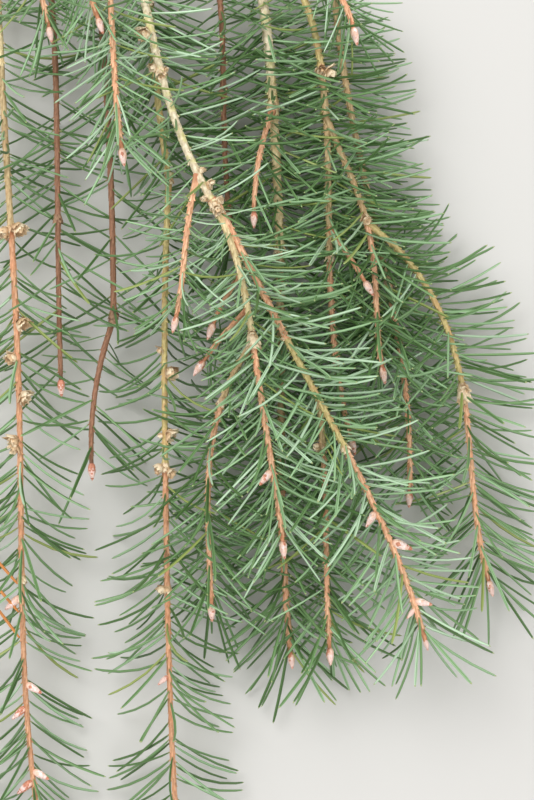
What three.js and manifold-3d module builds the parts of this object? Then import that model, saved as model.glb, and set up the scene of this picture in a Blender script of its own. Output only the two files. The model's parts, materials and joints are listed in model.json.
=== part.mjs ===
// Weeping spruce branch, as cut and laid down flat.
// One short bark-covered limb carries hanging shoots. Each shoot is a tapering twig, set round
// with stiff needles on a spiral and closed by a bud. Some shoots branch from other shoots.
// Millimetres, +Z up. Seen from above, the shoots hang towards -Y and the limb runs towards +X.
// The origin lies under the middle of the branch, at the level it rests on.

import * as THREE from 'three';
import { mergeVertices } from 'three/addons/utils/BufferGeometryUtils.js';
import Module from 'manifold-3d';

const wasm = await Module();
wasm.setup();

// Limb

const LIMB = {
  name: 'limb',
  length: 167,
  lean: [90, 60],
  bow: 8,
  startZ: 6.3,
  tipZ: 24,
  hump: 6,
  radius: [5.8, 2.4],
};
const LIMB_SIDES = 11;
const LIMB_STEP = 8;
const COLLAR_SWELL = 0.1;

// Shoots
// from, at: the shoot or limb it grows from, and how far along that its root lies.
// lean: direction at root and tip, in degrees from straight down the picture, + to the right.
// bow, sway: degrees added to the lean in one half wave and in one full wave.
// shoulder: degrees by which the shoot leaves its parent wider than that, fading out.
// tipZ, hump: height of the tip, and what is added to the height halfway.
// joints: where one year's growth meets the next. buds: [distance, side], side + to the right.
// needles: length of its needles as a share of the longest sprays' needles.
// spread: degrees that its needles open from its line, at root and tip.
// bend: degrees that each needle turns back through by its point.
// mass: the mass of foliage that the shoot is fused with, where it isn't its own.

const WIDE = 42;
const SHOOTS = [
  {
    name: 'far_left_spray', from: 'limb', at: 23, length: 364, lean: [-1, 10], bow: -2.6, sway: 4.2,
    shoulder: WIDE, tipZ: 18, hump: 6, radius: [1.7, 1.2], joints: [122, 258],
    buds: [[265, -1], [299, 1], [308, -1], [333, 1], [337, -1]], spread: [62, 46], bend: 26,
  },
  {
    name: 'upper_left_tuft', from: 'limb', at: 33, length: 51, lean: [18, 11], shoulder: WIDE,
    tipZ: 36, radius: [1.4, 1.2], needles: 0.85, bend: 10,
  },
  {
    name: 'left_rear_spray', from: 'limb', at: 42, length: 182, lean: [5.5, 2], bow: -3, shoulder: WIDE,
    tipZ: 16, radius: [1.6, 1.2], joints: [118],
  },
  {
    name: 'upper_front_tuft', from: 'limb', at: 53, length: 47, lean: [11, 18], shoulder: WIDE,
    tipZ: 40, radius: [1.4, 1.3], needles: 0.85, spread: [70, 48], bend: 6,
  },
  {
    name: 'left_deep_spray', from: 'limb', at: 60, length: 158, lean: [6, 0], shoulder: WIDE,
    tipZ: 15, radius: [1.7, 1.5], joints: [155], budless: true,
  },
  {
    name: 'left_deep_end', mass: 'left_deep_spray', from: 'left_deep_spray', at: 157, length: 58,
    lean: [-20, 3], tipZ: 15, radius: [1.5, 1.2],
  },
  {
    name: 'upper_front_spray', from: 'limb', at: 66, length: 94, lean: [7.5, 8], bow: -5, shoulder: WIDE,
    tipZ: 46, radius: [1.5, 1.3], needles: 0.85, spread: [72, 50], bend: 8,
  },
  {
    name: 'front_leader_spray', from: 'limb', at: 75, length: 122, lean: [13.5, 31.5], bow: -9, sway: -1,
    shoulder: WIDE, tipZ: 45, radius: [2.2, 1.9], joints: [119], budless: true, needles: 0.9,
    spread: [60, 74], bend: 14,
  },
  {
    name: 'front_leader_end', mass: 'front_leader_spray', from: 'front_leader_spray', at: 121, length: 130,
    lean: [26.5, 6], bow: -8, sway: -3.7, tipZ: 42, hump: 3, radius: [1.7, 1.25], joints: [52],
    buds: [[102, -1]], needles: 0.9, spread: [84, 48], bend: 12,
  },
  {
    name: 'front_leader_twig', mass: 'front_leader_spray', from: 'front_leader_end', at: 27, length: 22,
    lean: [-40, -20], tipZ: 34, radius: [1.2, 1.1], needles: 0.7,
  },
  {
    name: 'front_leader_spur', mass: 'front_leader_spray', from: 'front_leader_end', at: 40, length: 27,
    lean: [-48, -34], tipZ: 30, radius: [1.2, 1.1], needles: 0.7,
  },
  {
    name: 'right_leader_spray', from: 'front_leader_spray', at: 117, length: 187, lean: [23.5, 15],
    bow: 9, sway: -1, shoulder: 14, tipZ: 38, hump: 5, radius: [1.7, 1.3], joints: [107],
    buds: [[134, -1], [147, 1], [171, 1], [174, -1]], spread: [78, 54], bend: 10,
  },
  {
    name: 'front_side_spray', from: 'front_leader_spray', at: 106, length: 56, lean: [-15, -12.5], bow: 8,
    tipZ: 42, hump: 4, radius: [1.4, 1.25], needles: 0.85, spread: [86, 46], bend: 10,
  },
  {
    name: 'lower_left_side_spray', from: 'front_leader_end', at: 53, length: 105, lean: [-38, 2.5],
    bow: 13.5, tipZ: 26, radius: [1.4, 1.2], joints: [25],
  },
  {
    name: 'lower_right_side_spray', from: 'right_leader_spray', at: 86, length: 97, lean: [7, 3.5],
    bow: -4, tipZ: 26, radius: [1.4, 1.2], joints: [18],
  },
  {
    name: 'centre_left_spray', from: 'limb', at: 82, length: 101, lean: [0, 9.5], shoulder: WIDE,
    tipZ: 28, radius: [1.8, 1.6], joints: [32], budless: true,
  },
  {
    name: 'centre_left_end', mass: 'centre_left_spray', from: 'centre_left_spray', at: 101, length: 266,
    lean: [-3.5, 5.2], sway: 1.2, tipZ: 18, hump: 4, radius: [1.6, 1.2], joints: [111, 158],
    buds: [[192, -1]], spread: [60, 48], bend: 28,
  },
  {
    name: 'middle_short_spray', from: 'limb', at: 110, length: 122, lean: [4, 8], bow: -5.5,
    shoulder: WIDE, tipZ: 14, radius: [1.5, 1.2], joints: [60],
  },
  {
    name: 'middle_long_spray', from: 'limb', at: 127, length: 277, lean: [4.5, 6], bow: -4.5, sway: 1.7,
    shoulder: WIDE, tipZ: 15, radius: [2.1, 1.2], joints: [63, 119, 210],
  },
  {
    name: 'middle_long_twig', mass: 'middle_long_spray', from: 'middle_long_spray', at: 64, length: 43,
    lean: [-20, 0], tipZ: 32, radius: [1.3, 1.15], needles: 0.8,
  },
  {
    name: 'right_bough_spray', from: 'limb', at: 141, length: 192, lean: [20, 14.5], bow: -16.5,
    shoulder: WIDE, tipZ: 18, hump: 4, radius: [1.8, 1.2], joints: [48, 120], spread: [84, 56], bend: 14,
  },
  {
    name: 'right_bough_twig', mass: 'right_bough_spray', from: 'right_bough_spray', at: 109, length: 26,
    lean: [35, 31], tipZ: 30, radius: [1.2, 1.1], needles: 0.75,
  },
  {
    name: 'right_side_spray', from: 'right_bough_spray', at: 66, length: 101, lean: [21.5, 10.5],
    bow: -5.5, sway: 7, tipZ: 26, radius: [1.5, 1.2], joints: [42], spread: [82, 54], bend: 14,
  },
  {
    name: 'arching_right_spray', from: 'right_side_spray', at: 44, length: 153, lean: [56, 15.5],
    bow: -26, sway: 1.8, tipZ: 16, radius: [1.5, 1.25], joints: [78], spread: [80, 50], bend: 14,
  },
  {
    name: 'limb_end_spray', from: 'limb', at: 167, length: 198, lean: [4.5, -2], bow: 11.5,
    tipZ: 15, radius: [1.7, 1.2], joints: [115], needles: 0.9, spread: [84, 56], bend: 12,
  },
  {
    name: 'upper_right_tuft', from: 'limb', at: 153, length: 33, lean: [39, 10], shoulder: WIDE,
    tipZ: 36, radius: [1.4, 1.2], needles: 0.85,
  },
];
const SHOULDER_REACH = 12;
const SHOOT_SIDES = 5;
const SHOOT_STEP = 13;
const JOINT_SWELL = 0.35;
const JOINT_REACH = 2.6;
const JOINT_STATION = 3;
const LEAST_STATION = 1.5;

// Needles

const NEEDLE = {
  spacing: 5.2,
  firstBeyondBark: 4,
  lastBeforeTip: 1.5,
  length: 31,
  lengthSpread: 4,
  rootShare: 0.62,
  fullLengthAt: 26,
  openSpread: 8,
  openAtTip: 27,
  tipFade: 13,
  straightening: 0.6,
  waistAt: 0.45,
  rootRadius: 0.75,
  waistRadius: 1.0,
  sides: 3,
};
const GOLDEN_ANGLE = 137.5;
const TURN_SPREAD = 14;
const RETRY_TURN = 22;
const RETRIES = 9;
const NEEDLE_SEED = 410;

// Buds

const TIP_BUD = { length: 6.4, radius: 1.7, sunk: 1.2, forward: 0 };
const SIDE_BUD = { length: 6.6, radius: 1.6, sunk: 0.6, forward: 42 };
const BUD_SIDES = 5;
const BUD_PROFILE = [
  [0, 0.62],
  [0.35, 1],
  [0.7, 0.66],
  [1, 0],
];
const BUD_LIFT = 20;

// Clearances

const GAP = 0.42;
const NEEDLE_GAP = 0.4;
const FLOOR_GAP = 0.6;
const SLIVER = 0.05;

// Routes

const SKY = new THREE.Vector3(0, 0, 1);
const ROUTE_STEP = 1;

// What a plan leaves out.
const USUAL = {
  bow: 0, sway: 0, shoulder: 0, hump: 0, joints: [], buds: [], needles: 1, spread: [72, 52], bend: 16,
};

// The middle line of a limb or shoot, as points a millimetre apart.
class Route {
  constructor(plan, root, easesIn) {
    this.plan = { ...USUAL, ...plan };
    this.easesIn = easesIn;
    this.root = root;
    this.count = Math.max(2, Math.round(plan.length / ROUTE_STEP));
    this.step = plan.length / this.count;
    this.points = [root.clone()];
    for (let i = 0; i < this.count; i += 1) {
      const lean = this.lean((i + 0.5) / this.count);
      const last = this.points[i];
      this.points.push(new THREE.Vector3(
        last.x + Math.sin(lean) * this.step,
        last.y - Math.cos(lean) * this.step,
        this.height((i + 1) / this.count),
      ));
    }
  }

  lean(share) {
    const { lean, bow, sway, shoulder, length } = this.plan;
    const even = THREE.MathUtils.lerp(lean[0], lean[1], share);
    const waves = bow * Math.sin(Math.PI * share) + sway * Math.sin(2 * Math.PI * share);
    const wide = shoulder * Math.exp(-share * length / SHOULDER_REACH);
    return THREE.MathUtils.degToRad(even + waves + wide);
  }

  height(share) {
    const rise = this.easesIn ? share * share * (3 - 2 * share) : 1 - (1 - share) ** 3;
    const hump = this.plan.hump * Math.sin(Math.PI * share) ** 2;
    return THREE.MathUtils.lerp(this.root.z, this.plan.tipZ, rise) + hump;
  }

  radius(at) {
    const { radius, joints, length } = this.plan;
    const share = THREE.MathUtils.clamp(at / length, 0, 1);
    const swell = this.easesIn ? COLLAR_SWELL : JOINT_SWELL;
    const bump = (joint) => swell * Math.exp(-(((at - joint) / JOINT_REACH) ** 2));
    const girth = joints.reduce((sum, joint) => sum + bump(joint), 1);
    return THREE.MathUtils.lerp(radius[0], radius[1], share) * girth;
  }

  // Point, direction along the route, and the two directions square to it.
  frame(at) {
    const share = THREE.MathUtils.clamp(at / this.plan.length, 0, 1);
    const place = share * this.count;
    const before = Math.min(this.count - 1, Math.floor(place));
    const point = this.points[before].clone().lerp(this.points[before + 1], place - before);
    const lean = this.lean(share);
    const nudge = 1 / this.count;
    const climb = this.height(Math.min(1, share + nudge)) - this.height(Math.max(0, share - nudge));
    const run = this.plan.length * (Math.min(1, share + nudge) - Math.max(0, share - nudge));
    const slope = this.easesIn && share === 0 ? 0 : climb / run;
    const along = new THREE.Vector3(Math.sin(lean), -Math.cos(lean), slope).normalize();
    const across = along.clone().cross(SKY).normalize();
    const up = across.clone().cross(along);
    point.addScaledVector(along, at - share * this.plan.length);
    return { point, along, across, up };
  }

  // Distances at which the stem has a ring.
  stations(step) {
    const { length, joints } = this.plan;
    const even = Math.ceil(length / step);
    const wanted = [...joints, 0, length];
    if (!this.easesIn) {
      wanted.push(...joints.flatMap((joint) => [joint - JOINT_STATION, joint + JOINT_STATION]));
    }
    for (let i = 1; i < even; i += 1) {
      wanted.push(length * i / even);
    }
    const kept = [];
    for (const at of wanted) {
      if (at >= 0 && at <= length && kept.every((other) => Math.abs(other - at) > LEAST_STATION)) {
        kept.push(at);
      }
    }
    return kept.sort((a, b) => a - b);
  }
}

// Solids

// A closed tube through stations, each a point, two square directions and a radius.
// A last radius of 0 closes it in a point.
function taperedTube(sides, stations) {
  const last = stations.length - 1;
  const topRadius = stations[last].radius === 0 ? 0 : 1;
  const form = new THREE.CylinderGeometry(topRadius, 1, last, sides, last);
  const position = form.getAttribute('position');
  const corner = new THREE.Vector3();
  for (let i = 0; i < position.count; i += 1) {
    corner.fromBufferAttribute(position, i);
    const station = stations[Math.round(corner.y + last / 2)];
    const onAxis = Math.hypot(corner.x, corner.z) < Number.EPSILON;
    const turn = Math.round(Math.atan2(corner.x, corner.z) * sides / (2 * Math.PI) + sides) % sides;
    const angle = 2 * Math.PI * turn / sides;
    const reach = onAxis ? 0 : station.radius;
    const place = station.point.clone();
    place.addScaledVector(station.across, reach * Math.sin(angle));
    place.addScaledVector(station.up, reach * Math.cos(angle));
    position.setXYZ(i, place.x, place.y, place.z);
  }
  return solidOf(form);
}

function solidOf(geometry) {
  geometry.deleteAttribute('normal');
  geometry.deleteAttribute('uv');
  const merged = mergeVertices(geometry);
  return new wasm.Manifold(new wasm.Mesh({
    numProp: 3,
    vertProperties: new Float32Array(merged.getAttribute('position').array),
    triVerts: new Uint32Array(merged.getIndex().array),
  }));
}

function geometryOf(solid) {
  const mesh = solid.getMesh();
  const corners = new THREE.BufferAttribute(new Float32Array(mesh.vertProperties), mesh.numProp);
  const geometry = new THREE.BufferGeometry();
  geometry.setAttribute('position', corners);
  geometry.setIndex(new THREE.BufferAttribute(new Uint32Array(mesh.triVerts), 1));
  geometry.computeVertexNormals();
  return geometry;
}

// The one largest body, with no sealed hollow, no loose scrap and no sliver faces.
function largestBody(solid) {
  const body = solid.decompose().reduce((best, one) => (one.volume() > best.volume() ? one : best));
  return body.asOriginal().simplify(SLIVER);
}

function stemSolid(route, sides, step, extra = 0) {
  const distances = route.stations(step);
  const end = distances.length - 1;
  return taperedTube(sides, distances.map((at, i) => {
    const past = (i === end ? extra : 0) - (i === 0 ? extra : 0);
    return { ...route.frame(at + past), radius: route.radius(at) + extra };
  }));
}

// A direction leaning off a stem, turn degrees round it and forward degrees from its line.
function leaningDirection(frame, turn, forward) {
  const round = THREE.MathUtils.degToRad(turn);
  const open = THREE.MathUtils.degToRad(forward);
  const outward = frame.across.clone().multiplyScalar(Math.cos(round));
  outward.addScaledVector(frame.up, Math.sin(round));
  return frame.along.clone().multiplyScalar(Math.cos(open)).addScaledVector(outward, Math.sin(open));
}

function squareDirections(along, guide) {
  const across = along.clone().cross(guide).normalize();
  return { along, across, up: across.clone().cross(along) };
}

// Buds

function budStations(frame, bud, turn) {
  const axis = leaningDirection(frame, turn, bud.forward);
  const guide = bud.forward === 0 ? frame.up : frame.along;
  const square = squareDirections(axis, guide);
  return BUD_PROFILE.map(([share, girth]) => ({
    ...square,
    point: frame.point.clone().addScaledVector(axis, share * bud.length - bud.sunk),
    radius: girth * bud.radius,
  }));
}

function budsOf(route) {
  const { buds, length, budless } = route.plan;
  const all = buds.map(([at, side]) => {
    const frame = route.frame(at);
    const turn = side > 0 ? 180 - BUD_LIFT : BUD_LIFT;
    return budStations(frame, SIDE_BUD, turn);
  });
  if (!budless) {
    all.push(budStations(route.frame(length), TIP_BUD, 0));
  }
  return all;
}

// Needles

const chance = () => THREE.MathUtils.seededRandom();
const spread = (amount) => amount * (2 * chance() - 1);

// Root, waist and tip of one needle.
function needleStations(frame, turn, draw) {
  const waistAt = NEEDLE.waistAt * draw.length;
  const lower = leaningDirection(frame, turn, draw.open + draw.bend * NEEDLE.waistAt / 2);
  const upper = leaningDirection(frame, turn, draw.open + draw.bend * (1 + NEEDLE.waistAt) / 2);
  const root = frame.point.clone();
  const waist = root.clone().addScaledVector(lower, waistAt);
  const tip = waist.clone().addScaledVector(upper, draw.length - waistAt);
  const square = squareDirections(lower, frame.along);
  return [
    { ...square, point: root, radius: NEEDLE.rootRadius },
    { ...square, point: waist, radius: NEEDLE.waistRadius },
    { ...square, point: tip, radius: 0 },
  ];
}

function drawNeedle(route, at, firstAt) {
  const grown = THREE.MathUtils.clamp((at - firstAt) / NEEDLE.fullLengthAt, 0, 1);
  const share = THREE.MathUtils.lerp(NEEDLE.rootShare, 1, grown);
  const { plan } = route;
  const closing = plan.budless ? 0 : Math.exp((at - plan.length) / NEEDLE.tipFade);
  const open = THREE.MathUtils.lerp(plan.spread[0], plan.spread[1], at / plan.length);
  return {
    length: (NEEDLE.length + spread(NEEDLE.lengthSpread)) * share * plan.needles,
    open: THREE.MathUtils.lerp(open, NEEDLE.openAtTip, closing) + spread(NEEDLE.openSpread),
    bend: plan.bend * (1 - NEEDLE.straightening * closing),
  };
}

// Clearances

// Shortest distance between two straight pieces, and where on each it lies.
function pieceGap(p, q) {
  const d1 = p.end.clone().sub(p.start);
  const d2 = q.end.clone().sub(q.start);
  const r = p.start.clone().sub(q.start);
  const a = d1.lengthSq();
  const e = d2.lengthSq();
  const f = d2.dot(r);
  const c = d1.dot(r);
  const b = d1.dot(d2);
  const denominator = a * e - b * b;
  const clamp = (value) => THREE.MathUtils.clamp(value, 0, 1);
  let s = denominator > Number.EPSILON ? clamp((b * f - c * e) / denominator) : 0;
  const t = clamp((b * s + f) / e);
  s = clamp((b * t - c) / a);
  const nearP = p.start.clone().addScaledVector(d1, s);
  const nearQ = q.start.clone().addScaledVector(d2, t);
  const girthP = THREE.MathUtils.lerp(p.radii[0], p.radii[1], s);
  const girthQ = THREE.MathUtils.lerp(q.radii[0], q.radii[1], t);
  return nearP.distanceTo(nearQ) - girthP - girthQ;
}

function piecesOf(stations, mass) {
  return stations.slice(1).map((station, i) => ({
    mass,
    start: stations[i].point,
    end: station.point,
    radii: [stations[i].radius, station.radius],
    middle: stations[i].point.clone().lerp(station.point, 0.5),
    half: stations[i].point.distanceTo(station.point) / 2,
  }));
}

function isClear(pieces, others, gap) {
  return pieces.every((piece) => others.every((other) => {
    if (other.mass === piece.mass) {
      return true;
    }
    const near = piece.half + other.half + other.radii[0] + NEEDLE.waistRadius + gap;
    return piece.middle.distanceTo(other.middle) > near || pieceGap(piece, other) > gap;
  }));
}

function isAboveFloor(stations) {
  return stations.slice(1).every((station) => station.point.z - station.radius > FLOOR_GAP);
}

// Assembly

const massOf = (plan) => plan.mass ?? plan.name;

const seats = SHOOTS.filter((plan) => plan.from === LIMB.name).map((plan) => plan.at);
const routes = new Map();
routes.set(LIMB.name, new Route({ ...LIMB, joints: seats }, new THREE.Vector3(0, 0, LIMB.startZ), true));
for (const plan of SHOOTS) {
  const root = routes.get(plan.from).frame(plan.at).point;
  routes.set(plan.name, new Route(plan, root, false));
}

const obstacles = [];
for (const [name, route] of routes) {
  const mass = massOf(route.plan);
  const step = name === LIMB.name ? LIMB_STEP : SHOOT_STEP;
  const ringAt = (at) => ({ point: route.frame(at).point, radius: route.radius(at) });
  obstacles.push(...piecesOf(route.stations(step).map(ringAt), mass));
  if (name !== LIMB.name) {
    budsOf(route).forEach((bud) => obstacles.push(...piecesOf(bud, mass)));
  }
}

// Every needle of one shoot, each turned on round the shoot until it is clear, or left out.
function growNeedles(route, parent) {
  const { length, at: rootAt } = route.plan;
  const mass = massOf(route.plan);
  const firstAt = parent.radius(rootAt) + NEEDLE.firstBeyondBark;
  const grown = [];
  let turn = 360 * chance();
  for (let at = firstAt; at < length - NEEDLE.lastBeforeTip; at += NEEDLE.spacing) {
    turn += GOLDEN_ANGLE + spread(TURN_SPREAD);
    const draw = drawNeedle(route, at, firstAt);
    const frame = route.frame(at);
    for (let attempt = 0; attempt < RETRIES; attempt += 1) {
      const side = attempt % 2 === 0 ? 1 : -1;
      const stations = needleStations(frame, turn + side * attempt * RETRY_TURN, draw);
      const pieces = piecesOf(stations, mass);
      if (isAboveFloor(stations) && isClear(pieces, obstacles, NEEDLE_GAP)) {
        obstacles.push(...pieces);
        grown.push(stations);
        break;
      }
    }
  }
  return grown;
}

THREE.MathUtils.seededRandom(NEEDLE_SEED);
const needles = new Map();
for (const plan of SHOOTS) {
  needles.set(plan.name, growNeedles(routes.get(plan.name), routes.get(plan.from)));
}

// One mass of foliage: its shoots, buds and needles fused, then cut clear of what carries it.
function massSolid(mass) {
  const members = SHOOTS.filter((plan) => massOf(plan) === mass);
  const parts = members.flatMap((plan) => {
    const route = routes.get(plan.name);
    const spikes = needles.get(plan.name).map((stations) => taperedTube(NEEDLE.sides, stations));
    const buds = budsOf(route).map((stations) => taperedTube(BUD_SIDES, stations));
    return [stemSolid(route, SHOOT_SIDES, SHOOT_STEP), ...buds, ...spikes];
  });
  let solid = wasm.Manifold.union(parts);
  const carrier = massOf(routes.get(members[0].from).plan);
  for (const [name, route] of routes) {
    if (massOf(route.plan) === carrier) {
      const sides = name === LIMB.name ? LIMB_SIDES : SHOOT_SIDES;
      const step = name === LIMB.name ? LIMB_STEP : SHOOT_STEP;
      solid = solid.subtract(stemSolid(route, sides, step, GAP));
    }
  }
  return largestBody(solid);
}

const BARK = { color: 0x8a7360, roughness: 0.9, metalness: 0 };
const NEEDLE_GREENS = [0x6e9678, 0x7da287, 0x5f8a6d, 0x88a98a];

const solids = new Map();
solids.set(LIMB.name, stemSolid(routes.get(LIMB.name), LIMB_SIDES, LIMB_STEP));
for (const plan of SHOOTS) {
  if (!plan.mass) {
    solids.set(plan.name, massSolid(plan.name));
  }
}

const group = new THREE.Group();
for (const [name, solid] of solids) {
  const green = NEEDLE_GREENS[group.children.length % NEEDLE_GREENS.length];
  const finish = name === LIMB.name ? BARK : { color: green, roughness: 0.55, metalness: 0 };
  const mesh = new THREE.Mesh(geometryOf(solid), new THREE.MeshStandardMaterial(finish));
  mesh.name = name;
  group.add(mesh);
}

// The origin goes under the middle of the whole branch.
const box = new THREE.Box3().setFromObject(group);
const centre = box.getCenter(new THREE.Vector3());
for (const mesh of group.children) {
  mesh.position.set(-centre.x, -centre.y, -box.min.z);
}

export default group;
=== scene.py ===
"""Weeping spruce branch, as cut and laid down flat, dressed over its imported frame.

A short bark-covered limb carries long hanging shoots. The routes of the limb and the shoots, and
the spiral rule that sets their needles, are those of the solids, carried here to the real count
and girth of needles, with leaf cushions, scaly buds, papery husks and bark. Lengths are in
millimetres until a mesh is written, and directions in degrees.
"""
import json
import logging
import math
from dataclasses import dataclass, fields
from enum import Enum
from typing import Iterable, Optional, Sequence, TypeVar

import bpy
import numpy as np
from bpy.types import Material, Mesh, Node, NodeSocket, NodeTree, Object
from mathutils import Matrix, Vector, noise


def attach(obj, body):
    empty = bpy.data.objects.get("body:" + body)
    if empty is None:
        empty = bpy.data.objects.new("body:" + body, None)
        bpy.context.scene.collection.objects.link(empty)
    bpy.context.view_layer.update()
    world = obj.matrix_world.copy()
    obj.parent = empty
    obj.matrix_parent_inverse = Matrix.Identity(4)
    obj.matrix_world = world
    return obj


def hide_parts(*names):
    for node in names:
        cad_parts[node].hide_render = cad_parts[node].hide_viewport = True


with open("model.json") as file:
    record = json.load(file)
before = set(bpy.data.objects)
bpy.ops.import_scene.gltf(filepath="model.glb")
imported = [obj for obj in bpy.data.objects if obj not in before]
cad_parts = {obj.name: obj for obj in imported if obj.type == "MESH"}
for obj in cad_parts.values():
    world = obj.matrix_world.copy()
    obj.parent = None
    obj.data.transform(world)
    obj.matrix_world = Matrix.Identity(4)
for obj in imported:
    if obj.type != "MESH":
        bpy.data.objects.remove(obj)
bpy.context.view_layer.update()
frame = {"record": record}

LOG = logging.getLogger("weeping_spruce_branch")
MM = 0.001
BODY = "root"
TINY = 1e-12
BARELY = 0.01
Colour = tuple[float, float, float]
Array = np.ndarray
Pair = tuple[float, float]
Series = tuple[float, ...]
Rows = TypeVar("Rows", "Needles", "Places")


def srgb(*screen: int) -> Colour:
    """Turns red, green and blue in screen values of 0 to 255 into a linear colour."""
    return tuple(share / 12.92 if share <= 0.04045 else ((share + 0.055) / 1.055) ** 2.4
                 for share in (value / 255 for value in screen))


class Bed(Enum):
    """The part of the branch that a shoot's needles and bark are joined with."""

    LEFT = "left"
    FRONT = "front"
    MIDDLE = "middle"
    RIGHT = "right"


class Tint(Enum):
    """Colours that needles come in; the lighter and darker greens are partly their own and partly painted
    light and shade.
    """

    FROSTED = 0
    PALE = 1
    GREEN = 2
    DEEP = 3
    OLIVE = 4
    DEAD = 5


class Part(Enum):
    """Stretches of a needle's surface."""

    FOOT = 0
    BLADE = 1
    BAND = 2
    POINT = 3


class Age(Enum):
    """How old a stretch of shoot is, which sets its bark; the shaded kinds are darker copies of bark that
    paint shade.
    """

    YOUNG = 0
    SECOND = 1
    THIRD = 2
    # Painted shade: a darker copy of the bark, for shoots in shade.
    SHADED = 3
    # Painted shade: the young bark, darker and a little yellower.
    TAN = 4
    OLIVE = 5
    CREAM = 6
    OLD = 7


class Scale(Enum):
    """Colours of bud scales and husks."""

    PINK = 0
    RED = 1
    HUSK = 2
    CREAM = 3
    BLUSH = 4
    # Painted shade: a darker husk colour, for shoots in shade.
    DUN = 5


class Foliage(Enum):
    """Shares of frosted, pale, green, deep and olive needles on a spray, partly their own spread and partly
    painted light: paler on top, deeper in shade.
    """

    FRONT = (0.32, 0.38, 0.22, 0.05, 0.03)
    LEFT = (0.02, 0.16, 0.48, 0.30, 0.04)
    INNER = (0.02, 0.16, 0.44, 0.34, 0.04)
    REAR = (0.04, 0.24, 0.44, 0.24, 0.04)
    SHADE = (0.00, 0.08, 0.34, 0.56, 0.02)


@dataclass(frozen=True)
class ShootPlan:
    """What shapes one limb or shoot, in millimetres and degrees.

    lean is the direction at root and tip, from straight down the picture and + to the right. bow
    and sway are added to it in one half wave and one full wave, and shoulder where it leaves its
    carrier. joints are where one year's growth meets the next. husks are (distance, side, size),
    side + to the right and 0 upwards, buds have a share of red scales too, and dead needles are
    (distance, turn, forward). needles is their share of the full length, crowding how many stand
    on a millimetre, spread how far forward they lean at root and tip, bend what they turn through,
    and parting how far they part over the bark. girth is the bark's share of the radius, the rest
    being leaf cushions. barks are stretches (from, to, age) that don't follow the joints, and
    collar is the size of the collars at the joints. Shoots with SHADE foliage have shaded bark.
    """

    name: str
    carrier: str
    at: float
    length: float
    lean: Pair
    tip_z: float
    radius: Pair
    bed: Bed
    foliage: Foliage = Foliage.REAR
    bow: float = 0.0
    sway: float = 0.0
    shoulder: float = 0.0
    hump: float = 0.0
    joints: Series = ()
    buds: tuple[tuple[float, int, float, float], ...] = ()
    husks: tuple[tuple[float, int, float], ...] = ()
    budless: bool = False
    tip_bud: float = 1.0
    needles: float = 1.0
    mass: Optional[str] = None
    dead: tuple[tuple[float, float, float], ...] = ()
    crowding: float = 0.9
    spread: Pair = (72.0, 52.0)
    bend: float = 16.0
    parting: float = 0.42
    girth: float = 0.66
    barks: tuple[tuple[float, float, Age], ...] = ()
    collar: float = 1.0
    youngest: Age = Age.YOUNG

    @property
    def node(self) -> str:
        """The solid that the shoot belongs to."""
        return self.mass or self.name


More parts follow.
